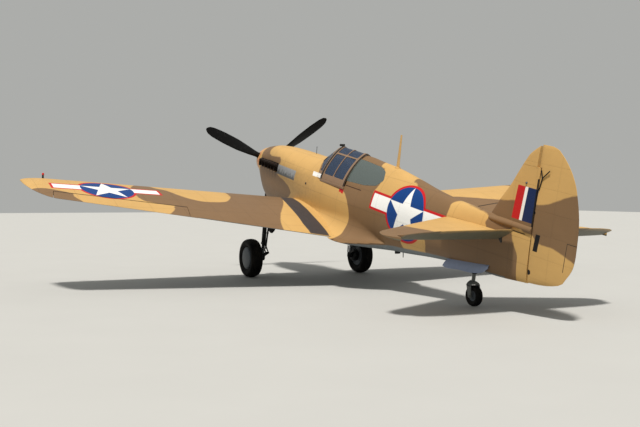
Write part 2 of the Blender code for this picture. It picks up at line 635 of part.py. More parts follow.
def build_tail_wheel():
    """Tail-wheel leg, swivelling fork, wheel and tyre."""
    grey = paint("tail_leg", GREY, 0.4, 0.4)
    leg = add("tail_leg", rod((0, SWIVEL_Y, -0.300 - SEAT), (0, SWIVEL_Y, FORK_CROWN), 0.028), material=grey)
    fuse(leg, tool("tail leg boot", rod((0, SWIVEL_Y, -0.380), (0, SWIVEL_Y, -0.510), 0.062, 0.034)))
    crown = FORK_CROWN - SEAT
    shoulders = [(-FORK_HALF, crown - 0.045), (-FORK_HALF, crown - 0.028), (-0.062, crown), (0.062, crown),
                 (FORK_HALF, crown - 0.028), (FORK_HALF, crown - 0.045)]
    fork = add("tail_fork", prism(shoulders, SWIVEL_Y - 0.045, SWIVEL_Y + 0.060, "y"), origin=(0, SWIVEL_Y, crown),
               material=paint("tail_fork", GREY, 0.4, 0.4))
    for side in (1, -1):
        arm = [(SWIVEL_Y - 0.045, crown - 0.035), (SWIVEL_Y + 0.060, crown - 0.035),
               (TAIL_WHEEL_Y + 0.030, TAIL_WHEEL_Z - 0.025), (TAIL_WHEEL_Y - 0.030, TAIL_WHEEL_Z - 0.025)]
        ends = sorted((side * (FORK_HALF - 0.014), side * FORK_HALF))
        fuse(fork, tool(f"fork arm {side}", prism(arm, ends[0], ends[1], "x")))
    fuse(fork, tool("tail axle", rod((-0.080, TAIL_WHEEL_Y, TAIL_WHEEL_Z), (0.080, TAIL_WHEEL_Y, TAIL_WHEEL_Z),
                                     TAIL_AXLE_RADIUS, sides=24)))
    bore = 0.080
    centre = (0, TAIL_WHEEL_Y, TAIL_WHEEL_Z)
    turned("tail_tyre", tyre_profile(TAIL_TYRE_RADIUS, TAIL_TYRE_WIDTH, bore), centre, wheel_turn(1),
           paint("tail_tyre", DARK, 0.85), steps=24, closed=True)
    inner = TAIL_AXLE_RADIUS + BEARING
    hub = [(inner, 0.050), (0.030, 0.050), (0.034, 0.030), (bore - SEAT * 3, 0.030), (bore - SEAT * 3, -0.030),
           (0.034, -0.030), (0.030, -0.050), (inner, -0.050)]
    turned("tail_hub", hub, centre, wheel_turn(1), paint("tail_hub", SILVER, 0.4, 0.3), steps=24, closed=True)
    for side, word in ((1, "left"), (-1, "right")):
        lines = [(7.620, 0.078, -0.430, 0.190, -0.560), (8.400, 0.0755, -0.322, 0.160, -0.475),
                 (8.560, 0.075, -0.300, 0.110, -0.385)]
        rings = []
        for y, x0, z0, x1, z1 in lines:
            rings.append([(side * x0, y, z0), (side * x1, y, z1), (side * (x1 + 0.008), y, z1 + 0.006),
                          (side * (x0 + 0.008), y, z0 + 0.006)])
        door = add(f"tail_door_{word}", loft(rings), material=paint(f"tail_door_{word}", GREY, 0.5))
        cut(door, tool(f"body at tail door {word}", body_mesh(7.2, 8.9, SEAT)))


def wing_mesh(side):
    return loft([wing_section(x, side) for x in wing_stations()])


def aileron_line(share):
    """Point of the aileron's hinge line, from the inner to the outer end."""
    x = AILERON_INNER[0] + (AILERON_OUTER[0] - AILERON_INNER[0]) * share
    y = AILERON_INNER[1] + (AILERON_OUTER[1] - AILERON_INNER[1]) * share
    line, upper, lower = wing_lines(x)
    high, low = np.interp(y, line, upper), np.interp(y, line, lower)
    return x, y, float(high + low) / 2, float(high - low) / 2


def aileron_tools(side, word, grow, fill):
    """Room behind the aileron's hinge line, square to it, and a round nose that fills a share of the thickness."""
    start, end = np.array(AILERON_INNER), np.array(AILERON_OUTER)
    length = np.linalg.norm(end - start)
    along = (end - start) / length
    aft = np.array([-along[1], along[0]])
    near, far = start - grow * along, end + grow * along
    corners = [near - grow * aft, far - grow * aft, far + 1.5 * aft, near + 1.5 * aft]
    room = tool(f"aileron room {word} {grow}", prism([(side * x, y) for x, y in corners], -1.2, 0.6))
    over = (grow - NOSE_SHORT) / length
    turn = np.linspace(0, 2 * np.pi, 20, endpoint=False)
    rings = []
    for share in np.linspace(-over, 1 + over, 6):
        x, y, z, radius = aileron_line(share)
        reach = radius * fill + grow
        back = reach * np.cos(turn)
        rings.append(np.column_stack([side * (x + back * aft[0]), y + back * aft[1], z + reach * np.sin(turn)]))
    return room, tool(f"aileron nose {word} {grow}", loft(rings))


def flap_mesh(side, over, ahead, behind, low, high):
    """Flat plate along the wing's lower skin, from the flap's hinge back, grown by the given lengths."""
    rings = []
    for x in (FLAP_INNER - over, *WING_STEPS[:3], FLAP_OUTER + over):
        y, _, lower = wing_lines(x)
        front, back = y[-1] - FLAP_CHORD * (y[-1] - y[0]), y[-1] - FLAP_LIP
        z0, z1 = np.interp(front, y, lower), np.interp(back, y, lower)
        slope = (z1 - z0) / (back - front)
        near, far = front - ahead, back + behind
        za, zb = z0 - slope * ahead, z1 + slope * behind
        rings.append([(side * x, near, za + low), (side * x, far, zb + low), (side * x, far, zb + high),
                      (side * x, near, za + high)])
    return loft(rings)


def build_wings():
    """Wings with their ailerons, split flaps, wheel wells, leg pods and gun barrels."""
    for side, word in ((1, "left"), (-1, "right")):
        wing = add(f"wing_{word}", wing_mesh(side), material=paint(f"wing_{word}", SAND))
        hinge = aileron_line(0)
        aileron = add(f"aileron_{word}", wing_mesh(side), origin=(side * hinge[0], hinge[1], hinge[2]),
                      material=paint(f"aileron_{word}", SAND))
        room, nose = aileron_tools(side, word, 0.0, 0.97)
        keep_inside(aileron, room)
        fuse(aileron, nose)
        room, nose = aileron_tools(side, word, RUNNING, 1.0)
        cut(wing, room, nose)
        for share, reach in ((0.0, 0.03), (1.0, -0.03)):
            x, y, z, _ = aileron_line(share)
            beyond = reach / (AILERON_OUTER[0] - AILERON_INNER[0])
            inner, outer = aileron_line(share + beyond), aileron_line(share - 1.4 * beyond)
            start = (side * inner[0], inner[1], inner[2])
            end = (side * outer[0], outer[1], outer[2])
            fuse(wing, tool(f"aileron pin {word} {share}", rod(end, start, 0.008, sides=16)))
            past = aileron_line(share + 1.1 * beyond)
            cut(aileron, tool(f"aileron bore {word} {share}",
                              rod(end, (side * past[0], past[1], past[2]), 0.0085, sides=16)))
        add(f"flap_{word}", flap_mesh(side, 0.0, 0.0, 0.0, 0.0, FLAP_PLATE), material=paint(f"flap_{word}", GREY))
        room = flap_mesh(side, RUNNING, 0.013, 0.2, -0.06, FLAP_PLATE + SEAT)
        cut(wing, tool(f"flap room {word}", room))
        pod = bmesh.new()
        bmesh.ops.create_uvsphere(pod, u_segments=16, v_segments=8, radius=1.0)
        bmesh.ops.transform(pod, matrix=Matrix.Translation((side * LEG_X, 2.640, -0.770))
                            @ Matrix.Diagonal((0.120, 0.360, 0.150, 1.0)), verts=pod.verts[:])
        fuse(wing, tool(f"pod {word}", finish_mesh(pod, "pod")))
        well = tool(f"wheel well {word}", rod((side * LEG_X, 3.560, -1.3), (side * LEG_X, 3.560, WHEEL_WELL_ROOF), 0.415,
                                              sides=32))
        slot_low = (min(side * (LEG_X - 0.09), side * (LEG_X + 0.09)), 2.78, -1.3)
        slot_high = (max(side * (LEG_X - 0.09), side * (LEG_X + 0.09)), 3.3, LEG_WELL_ROOF)
        cut(wing, well, tool(f"leg well {word}", block(slot_low, slot_high)))
        fuse(wing, tool(f"leg socket {word}", rod((side * LEG_X, WHEEL_Y, -0.75), (side * LEG_X, WHEEL_Y, -0.960),
                                                  0.070)))
        fuse(wing, tool(f"jack pad {word}", rod((side * JACK_PAD[0], JACK_PAD[1], JACK_PAD[2]),
                                                (side * JACK_PAD[0], JACK_PAD[1], JACK_PAD[2] + 0.1), 0.045)))
        for k in range(3):
            x = 2.05 + 0.22 * k
            y = wing_edges(x)[0]
            z = wing_plane(x, y) + 0.005
            fuse(wing, tool(f"gun {word} {k}", rod((side * x, y + 0.10, z), (side * x, y - 0.10, z), 0.020,
                                                   sides=12)))
        lamp_y, upper, _ = wing_lines(LAMP_X)
        skin = float(np.interp(LAMP_Y, lamp_y, upper))
        fuse(wing, tool(f"lamp {word}", rod((side * LAMP_X, LAMP_Y, skin - 0.03), (side * LAMP_X, LAMP_Y, skin + 0.10),
                                            0.016, 0.014, sides=12)))
    tip = wing_edges(PITOT_X)[0]
    height = wing_plane(PITOT_X, tip)
    fuse(bpy.data.objects["wing_left"], tool("pitot tube", rod((PITOT_X, tip + 0.06, height),
                                                               (PITOT_X, tip - 0.20, height), 0.013, sides=12)))


def plane_section(x, grow=0.0, trail=None):
    """Ring of the tailplane at span x, ahead of the elevator's hinge line."""
    lead, half = smooth(PLANE_STATIONS, 1, abs(x)), smooth(PLANE_STATIONS, 3, abs(x))
    trail = ELEVATOR_HINGE - 0.028 if trail is None else trail
    u = 1 - np.cos(np.linspace(0, np.pi / 2, 8))
    swell = half * (1.12 * np.sqrt(np.clip(1 - (1 - u) ** 2.4, 0, 1)) - 0.12 * u ** 2)
    y = lead - grow + (trail - lead + 2 * grow) * u
    upper = np.column_stack([np.full(8, x), y, ELEVATOR_HEIGHT + swell + grow])
    lower = np.column_stack([np.full(8, x), y, ELEVATOR_HEIGHT - swell - grow])
    return np.concatenate([upper[::-1], lower])


def elevator_section(x, grow=0.0, tail=None):
    """Ring of the elevator at span x, undeflected: round nose on the hinge, then straight to a thin edge."""
    trail = smooth(PLANE_STATIONS, 2, abs(x)) if tail is None else tail
    half = smooth(PLANE_STATIONS, 3, abs(x)) + grow
    return control_ring(trail - ELEVATOR_HINGE, half, lambda a, b: (x, ELEVATOR_HINGE + a, ELEVATOR_HEIGHT + b))


def control_ring(chord, half, place, nose=None):
    """Section of a control surface: chord behind the hinge, half-thickness there, and a round nose."""
    nose = half if nose is None else nose
    turn = np.linspace(np.pi / 2, 3 * np.pi / 2, 7)
    front = [(nose * math.cos(t), half * math.sin(t)) for t in turn]
    edge = min(0.004, half)
    back = [(chord * v, half + (edge - half) * v ** 1.1) for v in (0.35, 0.7, 1.0)]
    ring = front + [(a, -b) for a, b in back] + back[::-1]
    return [place(a, b) for a, b in ring]


def build_tailplane():
    """One-piece tailplane through the body, and two elevators held up."""
    spans = [0.0, 0.4, 0.8, 1.2, 1.5, 1.7, 1.80, 1.812]
    tips = [(1.820, 8.870), (1.860, 8.830), (1.900, 8.770), (1.930, 8.700), (1.945, 8.640)]
    rings = [plane_section(-x, trail=t) for x, t in tips[::-1]] + [plane_section(-x) for x in spans[::-1]]
    rings += [plane_section(x) for x in spans[1:]] + [plane_section(x, trail=t) for x, t in tips]
    plane = add("tailplane", loft(rings), material=paint("tailplane", SAND))
    spans = [ELEVATOR_INNER, 0.18, 0.26, 0.5, 0.8, 1.1, 1.35, 1.55, 1.7, ELEVATOR_OUTER]
    for side, word in ((1, "left"), (-1, "right")):
        room = [elevator_section(side * x, RUNNING, 9.6) for x in (ELEVATOR_INNER - RUNNING, 0.6, 1.2, 1.6,
                                                                  ELEVATOR_OUTER + RUNNING)]
        cut(plane, tool(f"elevator room {word}", loft(room)))
        rings = [elevator_section(side * x, tail=9.090 + (9.200 - 9.090) * (x - ELEVATOR_INNER) / 0.125
                                  if x < 0.26 else None) for x in spans]
        elevator = add(f"elevator_{word}", loft(rings), origin=(0, ELEVATOR_HINGE, ELEVATOR_HEIGHT),
                       material=paint(f"elevator_{word}", SAND))
        elevator.rotation_euler = (ELEVATOR_UP, 0, 0)
        ends = sorted((side * (ELEVATOR_INNER - 0.05), side * 0.203))
        cut(elevator, tool(f"elevator bore {word}", rod((ends[0], ELEVATOR_HINGE, ELEVATOR_HEIGHT),
                                                        (ends[1], ELEVATOR_HINGE, ELEVATOR_HEIGHT), 0.0165)))


def fin_ring(z):
    """Ring of the fin at height z."""
    lead, half = straight(TAIL_STATIONS, 1, z), straight(TAIL_STATIONS, 3, z)
    trail = RUDDER_HINGE - (0.035 if z < HORN_BASE - 0.007 else HORN_REACH + 0.009)
    u = 1 - np.cos(np.linspace(0, np.pi / 2, 8))
    swell = half * np.sqrt(np.clip(1 - (1 - u) ** 2.2, 0, 1))
    y = lead + (trail - lead) * u
    right = np.column_stack([swell, y, np.full(8, z)])
    left = np.column_stack([-swell, y, np.full(8, z)])
    return np.concatenate([right[::-1], left])


def rudder_levels():
    low = [-0.338, -0.322, -0.300, -0.236, -0.093, 0.032, 0.188, 0.464, 0.698, 0.923, 1.151]
    return low + [HORN_BASE - 0.002, HORN_BASE, 1.306, 1.400, 1.480, 1.528, 1.550]


def rudder_shape(grow):
    """Rudder with a round nose on its hinge and a small balance horn at the top, grown by grow."""
    rings = []
    for z in rudder_levels():
        half = float(straight(TAIL_STATIONS, 3, z)) + grow
        trail = float(straight(TAIL_STATIONS, 2, z))
        nose = max(half, HORN_REACH + grow) if z >= HORN_BASE else half
        level = z + (grow if z > 1.5 else -grow if z < -0.33 or abs(z - HORN_BASE) < 0.01 else 0.0)
        rings.append(control_ring(trail - RUDDER_HINGE, half, lambda a, b: (b, RUDDER_HINGE + a, level), nose))
    return loft(rings)


def build_fin_and_rudder():
    levels = [0.300, 0.380, 0.464, 0.580, 0.698, 0.810, 0.923, 1.040, 1.151, HORN_BASE - 0.008, HORN_BASE - 0.006,
              1.306, 1.400, 1.460, 1.500]
    fin = add("fin", loft([fin_ring(z) for z in levels]), material=paint("fin", SAND))
    cut(fin, tool("body under fin", body_mesh(7.8, STERN + 0.2, SEAT)))
    cut(fin, tool("fairing at fin", stern_fairing(SEAT)))
    cut(fin, tool("fin foot under fairing", block((-0.2, 8.700, 0.2), (0.2, STERN + 0.2, FAIRING_HEIGHT))))
    cut(fin, tool("rudder room at fin", rudder_shape(RUNNING)))
    rudder = add("rudder", rudder_shape(0.0), origin=(0, RUDDER_HINGE, 0), material=paint("rudder", SAND))
    cut(rudder, tool("bracket room", block((-0.1, RUDDER_HINGE - 0.2, -0.198), (0.1, RUDDER_HINGE + 0.026, -0.168))))
    cut(rudder, tool("rudder bore", rod((0, RUDDER_HINGE, -0.2), (0, RUDDER_HINGE, -0.125), 0.0075, sides=16)))


HOOD = [(y, 0.452, SILL + 0.005, top) for y, top in ((HOOD_FRONT, 0.785), (4.250, 0.780), (HOOD_REAR, 0.772))]
SCREEN = [(WINDSHIELD_FRONT, 0.300, 0.150, 0.470), (3.400, 0.370, 0.150, 0.600), (3.580, 0.415, 0.150, 0.705),
          (3.720, 0.440, 0.150, 0.765), (HOOD_FRONT - 0.010, 0.448, 0.150, 0.785)]


def build_glazing():
    """Fixed windshield, sliding hood and the two windows behind the cockpit."""
    frame = add("windshield_frame", arch_shell(SCREEN, 0.0, 0.016), material=paint("windshield_frame", BROWN))
    glass = add("windshield_glass", arch_shell(SCREEN, 0.016 + 2 * SEAT, 0.021),
                material=paint("windshield_glass", GLASS, 0.1))
    side_pane = [(3.330, 0.36), (3.700, 0.30), (3.735, 0.30), (3.735, 0.62), (3.640, 0.62)]
    cut(frame, tool("screen side panes", prism(side_pane, -0.6, 0.6, "x")))
    front = [(-0.200, 3.200), (0.200, 3.200), (0.250, 3.700), (-0.250, 3.700)]
    cut(frame, tool("screen front pane", prism(front, 0.5, 1.0, "z")))
    sill = block((-0.6, HOOD_FRONT - 0.3, -0.2), (0.6, HOOD_FRONT + 0.1, SILL + 0.001))
    below = tool("body under windshield", body_mesh(2.6, COCKPIT_FRONT, 2 * SEAT))
    for piece in (frame, glass):
        cut(piece, below, tool(f"sill under {piece.name}", sill.copy()))
    hood = add("canopy_frame", arch_shell(HOOD, 0.0, 0.020), material=paint("canopy_frame", BROWN))
    for k, (front, back) in enumerate(((3.850, 4.225), (4.255, 4.640))):
        cut(hood, tool(f"hood side pane {k}", block((-0.6, front, 0.285), (0.6, back, 0.610))))
        cut(hood, tool(f"hood top pane {k}", block((-0.215, front, 0.5), (0.215, back, 1.0))))
    inside = [(HOOD_FRONT + 0.012, *HOOD[0][1:]), HOOD[1], (HOOD_REAR - 0.012, *HOOD[2][1:])]
    add("canopy_glass", arch_shell(inside, 0.020 + SEAT, 0.0245), material=paint("canopy_glass", GLASS, 0.1))
    for side, word in ((1, "left"), (-1, "right")):
        pane = add(f"quarter_window_{word}", body_mesh(4.2, 6.2), material=paint(f"quarter_window_{word}", GLASS, 0.2))
        low = (min(side * (0.115 + SEAT), side * 0.7), DECK_FRONT + 0.002, 0.315 + SEAT)
        high = (max(side * (0.115 + SEAT), side * 0.7), 5.700 - SEAT, 0.660 - SEAT)
        keep_inside(pane, tool(f"quarter pane room {word}", block(low, high)))
        cut(pane, tool(f"quarter pane inside {word}", body_mesh(4.2, 6.2, -0.007)))


def build_cockpit():
    """Seat, armour plate, instrument panel and stick."""
    seat = add("pilot_seat", block((-0.210, 4.130, COCKPIT_FLOOR + SEAT), (0.210, 4.560, -0.140)),
               material=paint("pilot_seat", GREEN))
    fuse(seat, tool("seat back", prism([(4.500, -0.300), (4.560, -0.300), (4.640, 0.260), (4.600, 0.260)], -0.210,
                                       0.210, "x")))
    for side in (1, -1):
        ends = sorted((side * 0.185, side * 0.210))
        fuse(seat, tool(f"seat side {side}", prism([(4.150, -0.3), (4.560, -0.3), (4.590, 0.020), (4.200, -0.020)],
                                                   ends[0], ends[1], "x")))
    low = COCKPIT_FLOOR + 0.050
    plate = [(-0.240, low), (0.240, low), (0.240, 0.350), (0.120, 0.640), (-0.120, 0.640), (-0.240, 0.350)]
    armour = add("armour_plate", prism(plate, DECK_FRONT - 0.016, DECK_FRONT - SEAT, "y"),
                 material=paint("armour_plate", GREEN))
    fuse(armour, tool("headrest", block((-0.085, DECK_FRONT - 0.075, 0.330), (0.085, DECK_FRONT - 0.010, 0.520))))
    panel = [(-0.330, -0.080), (0.330, -0.080), (0.345, 0.300), (0.200, 0.400), (-0.200, 0.400), (-0.345, 0.300)]
    add("instrument_panel", prism(panel, COCKPIT_FRONT + SEAT, COCKPIT_FRONT + 0.020, "y"),
        material=paint("instrument_panel", DARK))
    stick = add("control_stick", rod((0, 3.980, COCKPIT_FLOOR + SEAT), (0, 3.980, -0.010), 0.016, sides=16),
                material=paint("control_stick", DARK))
    fuse(stick, tool("stick grip", rod((0, 3.977, -0.060), (0, 3.992, 0.090), 0.024, sides=16)))


def build_mast():
    """Short antenna mast behind the cockpit."""
    rings = [ellipse_ring(5.760, 0.045, 0.014, 0.600), ellipse_ring(5.775, 0.022, 0.008, 1.215)]
    mast = add("antenna_mast", loft(rings), material=paint("antenna_mast", SAND))
    cut(mast, tool("body under mast", body_mesh(5.4, 6.2, SEAT)))


def ellipse_ring(y, long, wide, z):
    """Level ellipse, long fore and aft."""
    turn = np.linspace(0, 2 * np.pi, 16, endpoint=False)
    return np.column_stack([wide * np.cos(turn), y + long * np.sin(turn), np.full(16, z)])


def main():
    global airframe, parts, cutters
    for item in list(bpy.data.objects):
        bpy.data.objects.remove(item, do_unlink=True)
    parts = bpy.data.collections.new("fighter_monoplane")
    cutters = bpy.data.collections.new("cutters")
    for collection in (parts, cutters):
        bpy.context.scene.collection.children.link(collection)
    angle = ground_angle()
    airframe = bpy.data.objects.new("airframe", None)
    tail_reach = float(np.max(TAIL_STATIONS[:, 2] * math.cos(angle) + TAIL_STATIONS[:, 0] * math.sin(angle)))
    wheel_height = -WHEEL_Y * math.sin(angle) + WHEEL_Z * math.cos(angle)
    airframe.location = (0.0, -tail_reach / 2, TYRE_RADIUS - wheel_height)
    airframe.rotation_euler = (-angle, 0.0, 0.0)
    parts.objects.link(airframe)
    build_fuselage()
    build_cowling()
    build_radiators()
    build_engine()
    build_exhausts()
    build_propeller()
    build_main_wheels()
    build_tail_wheel()
    build_wings()
    build_tailplane()
    build_fin_and_rudder()
    build_glazing()
    build_cockpit()
    build_mast()


main()
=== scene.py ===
"""Looks of a parked single-seat, low-wing fighter monoplane in sand and brown desert camouflage.

Shapes are written in the airframe's own axes, in metres: x to port, y aft of the spinner's tip and
z above the propeller's axis. Each piece is turned onto the ground when its mesh is finished.
"""
import json
import math

import bmesh
import bpy
import numpy as np
from mathutils import Matrix, Vector


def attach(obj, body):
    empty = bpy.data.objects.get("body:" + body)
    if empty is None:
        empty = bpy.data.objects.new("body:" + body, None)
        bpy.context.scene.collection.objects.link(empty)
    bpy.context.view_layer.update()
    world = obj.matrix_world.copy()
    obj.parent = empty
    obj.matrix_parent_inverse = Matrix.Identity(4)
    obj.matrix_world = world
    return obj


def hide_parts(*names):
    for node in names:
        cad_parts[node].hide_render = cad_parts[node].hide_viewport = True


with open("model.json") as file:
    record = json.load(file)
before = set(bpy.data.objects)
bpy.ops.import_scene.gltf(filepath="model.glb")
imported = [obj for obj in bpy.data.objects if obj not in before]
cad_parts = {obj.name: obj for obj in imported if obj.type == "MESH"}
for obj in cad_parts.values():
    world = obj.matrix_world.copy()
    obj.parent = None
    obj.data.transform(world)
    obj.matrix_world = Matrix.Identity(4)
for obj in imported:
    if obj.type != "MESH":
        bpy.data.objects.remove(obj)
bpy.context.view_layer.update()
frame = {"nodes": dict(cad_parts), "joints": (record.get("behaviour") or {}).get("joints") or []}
JOINTS = {joint["name"]: joint for joint in frame["joints"]}

# Driving dimensions of the airframe
HALF_SPAN = 5.685
ROOT_CHORD = 2.743
TIP_CHORD = 1.37
LEADING_EDGE = 2.45
LEADING_SWEEP = 0.130
TIP_ROUND = 0.40
TIP_FULLNESS = 1.9
TIP_MIDDLE = 0.08
WING_HEIGHT = -0.769
WING_TWIST_POINT = 5.19
DIHEDRAL = math.radians(6.0)
ROOT_INCIDENCE = math.radians(2.5)
TIP_INCIDENCE = math.radians(1.2)
ROOT_THICKNESS = 0.15
TIP_THICKNESS = 0.09
SPINNER_LENGTH = 0.585
SPINNER_RADIUS = 0.325
COWL_FRONT = 0.600
INTAKE_BACK = 1.450
FIREWALL = 2.450
STERN = 9.335
FAIRING_HEIGHT = 0.381
PROPELLER_RADIUS = 1.676
PROPELLER_PLANE = 0.430
PROPELLER_ANGLE = math.radians(66.7)
TYRE_RADIUS = 0.381
TYRE_WIDTH = 0.240
HUB_RADIUS = 0.217
WHEEL_Y = 2.680
WHEEL_Z = -1.640
HALF_TRACK = 1.250
LEG_X = 1.000
LEG_WELL_ROOF = -0.680
WHEEL_WELL_ROOF = -0.655
TAIL_TYRE_RADIUS = 0.159
TAIL_TYRE_WIDTH = 0.110
TAIL_WHEEL_Y = 8.220
TAIL_WHEEL_Z = -0.855
SWIVEL_Y = 8.160
FORK_CROWN = -0.6403
FORK_HALF = 0.088
SILL = 0.160
HOOD_FRONT = 3.800
HOOD_REAR = 4.700
WINDSHIELD_FRONT = 3.220
COCKPIT_FRONT = 3.620
DECK_FRONT = 4.720
COCKPIT_FLOOR = -0.390
RUDDER_HINGE = 9.370
HORN_BASE = 1.250
HORN_REACH = 0.085
ELEVATOR_HINGE = 8.780
ELEVATOR_HEIGHT = 0.195
ELEVATOR_UP = math.radians(24.0)
ELEVATOR_INNER = 0.135
ELEVATOR_OUTER = 1.800
AILERON_INNER = (3.120, 4.078)
AILERON_OUTER = (5.300, 3.704)
FLAP_INNER = 0.620
FLAP_OUTER = 3.060
FLAP_CHORD = 0.19
FLAP_LIP = 0.030
FLAP_PLATE = 0.010
COOLING_FLAPS = 7
COOLING_FLAP_PITCH = 0.25
LAMP_X, LAMP_Y = 5.300, 2.680
PITOT_X = 5.050
GAP = 0.0003
RUNNING = 0.0075
NOSE_SHORT = 0.001
SIDES = ((1, "left"), (-1, "right"))

# Body: y, top, bottom, half-width, height of the greatest width, squareness above and below it
BODY_STATIONS = np.array([
    (0.600, 0.350, -0.350, 0.340, 0.00, 2.0, 2.0),
    (0.700, 0.372, -0.560, 0.355, 0.00, 2.0, 2.2),
    (0.820, 0.395, -0.720, 0.372, 0.00, 2.0, 2.4),
    (1.000, 0.425, -0.820, 0.395, -0.02, 2.0, 2.5),
    (1.400, 0.462, -0.905, 0.428, -0.05, 2.1, 2.5),
    (1.900, 0.480, -0.930, 0.450, -0.08, 2.1, 2.5),
    (2.450, 0.485, -0.900, 0.470, -0.12, 2.1, 2.4),
    (3.100, 0.485, -0.900, 0.483, -0.15, 2.1, 2.4),
    (3.620, 0.520, -0.900, 0.486, -0.15, 2.0, 2.4),
    (4.200, 0.660, -0.890, 0.484, -0.14, 1.7, 2.4),
    (4.720, 0.738, -0.850, 0.476, -0.12, 1.52, 2.4),
    (5.350, 0.712, -0.790, 0.446, -0.08, 1.55, 2.3),
    (5.800, 0.685, -0.738, 0.412, -0.05, 1.65, 2.25),
    (6.400, 0.612, -0.662, 0.352, -0.01, 1.80, 2.2),
    (7.000, 0.525, -0.570, 0.286, 0.02, 1.95, 2.1),
    (7.500, 0.480, -0.505, 0.224, 0.04, 2.0, 2.1),
    (8.100, 0.455, -0.452, 0.158, 0.05, 2.1, 2.1),
    (8.700, 0.445, -0.425, 0.098, 0.05, 2.3, 2.2),
    (STERN, 0.440, -0.352, 0.056, 0.05, 2.6, 2.4)])

# Wing-root fillet: y, how far it stands out from the body's side, and the height of its foot
FILLET_STATIONS = np.array([
    (2.450, 0.000, -0.560), (2.900, 0.045, -0.520), (3.500, 0.115, -0.530), (4.100, 0.215, -0.575),
    (4.700, 0.330, -0.640), (5.100, 0.395, -0.690), (5.350, 0.370, -0.690), (5.600, 0.260, -0.650),
    (5.850, 0.110, -0.600), (6.050, 0.000, -0.560)])

# Line between the upper and under colours: y, height above the body's bottom
UNDER_LINE = np.array([(FIREWALL, 0.10), (2.6, 0.055), (5.0, 0.055), (6.2, 0.120), (7.4, 0.070),
                       (8.4, 0.030)])

# Vertical tail: z, y of the fin's leading edge, y of the rudder's trailing edge, half-thickness
TAIL_STATIONS = np.array([
    (-0.338, 9.20, 9.360, 0.026), (-0.322, 9.20, 9.500, 0.030), (-0.300, 9.20, 9.640, 0.034),
    (-0.236, 9.20, 9.885, 0.040), (-0.093, 9.20, 10.046, 0.046), (0.032, 9.20, 10.124, 0.050),
    (0.188, 8.20, 10.154, 0.054), (0.320, 8.285, 10.154, 0.054), (0.464, 8.395, 10.149, 0.053),
    (0.698, 8.560, 10.122, 0.050), (0.923, 8.735, 10.058, 0.045), (1.151, 8.880, 9.962, 0.039),
    (1.306, 8.985, 9.850, 0.034), (1.400, 9.058, 9.757, 0.029), (1.480, 9.165, 9.655, 0.023),
    (1.528, 9.240, 9.576, 0.017), (1.554, 9.270, 9.470, 0.010)])

# Chin intake: y, half-width, half-height, height of its middle
INTAKE_STATIONS = np.array([(0.40, 0.29, 0.150, -0.520), (0.80, 0.29, 0.150, -0.540),
                            (INTAKE_BACK, 0.33, 0.200, -0.610)])

# Cooling flaps: distance ahead of the firewall, how far out they stand there
COOLING_FLAP_LIFT = ((0.312, 0.001), (0.200, 0.017), (0.100, 0.035), (0.0, 0.052))

# Fairing along the top of the stern: y, half-width, half-height
STERN_FAIRING = np.array([
    (8.300, 0.020, 0.020), (8.420, 0.080, 0.046), (8.620, 0.098, 0.060), (8.900, 0.094, 0.064),
    (9.150, 0.086, 0.064), (STERN + 0.002, 0.080, 0.064)])

# Tailplane: x, leading edge y, trailing edge y of the elevator, half-thickness at the hinge
PLANE_STATIONS = np.array([
    (0.000, 7.420, 9.200, 0.048), (0.400, 7.625, 9.200, 0.046), (0.800, 7.830, 9.198, 0.043),
    (1.200, 8.038, 9.185, 0.038), (1.500, 8.195, 9.140, 0.033), (1.700, 8.298, 9.065, 0.028),
    (1.800, 8.355, 8.990, 0.024), (1.880, 8.425, 8.880, 0.019), (1.925, 8.505, 8.780, 0.012),
    (1.945, 8.590, 8.690, 0.006)])

# Colours, linear
SAND = (0.545, 0.335, 0.118, 1.0)
BROWN = (0.197, 0.117, 0.058, 1.0)
SKY_GREY = (0.165, 0.185, 0.195, 1.0)
# Painted shade: the undersides of tailplane and elevators get a dark olive that stands for the shade they lie
# in
TAIL_UNDER_PAINTED_SHADE = (0.115, 0.108, 0.072, 1.0)
WHITE = (0.82, 0.82, 0.80, 1.0)
BLUE = (0.004, 0.045, 0.200, 1.0)
FLASH_BLUE = (0.006, 0.020, 0.085, 1.0)
RED = (0.500, 0.012, 0.014, 1.0)
WALK_GREY = (0.042, 0.038, 0.042, 1.0)
BARE_METAL = (0.330, 0.345, 0.360, 1.0)
BLACK = (0.008, 0.008, 0.009, 1.0)
# Darker blue-grey on the lower part of the bare plate behind the exhausts
PLATE_LOWER_GREY = (0.10, 0.11, 0.12, 1.0)
SOOT = (0.035, 0.030, 0.024, 1.0)
# Painted shade in the hood rail's groove
RAIL_GROOVE_SHADE = (0.045, 0.020, 0.012, 1.0)
# Painted shadow under the stern fairing's lower edge
FAIRING_PAINTED_SHADOW = (0.030, 0.018, 0.010, 1.0)
TAB_LINE = (0.040, 0.030, 0.020, 1.0)

# Markings: body roundel centre and radius, wing roundel centre and radius
BODY_ROUNDEL = (6.608, 0.062, 0.457)
BODY_ROUNDEL_TILT = math.radians(-2.0)
WING_ROUNDEL = (4.345, 3.395, 0.458)
ROUNDEL_BORDER = 0.042
FLASH_FRONT = 8.885
FLASH_LOW, FLASH_HIGH = 0.478, 0.950
FLASH_WIDTH = 0.435
FLASH_SLANT = 0.088
FLASH_STRIPES = ((0.0, 0.375, RED), (0.375, 0.515, WHITE), (0.515, 1.0, FLASH_BLUE))

# The airframe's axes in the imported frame, from the propeller's joint
AFT = -np.array(JOINTS["propeller_spin"]["axis"])
PORT = np.array([1.0, 0.0, 0.0])
UP = np.cross(PORT, AFT)
NOSE = np.array(JOINTS["propeller_spin"]["pos_m"]) - PROPELLER_PLANE * AFT
AIRFRAME = Matrix.Translation(Vector(NOSE)) @ Matrix(np.column_stack([PORT, AFT, UP]).tolist()).to_4x4()


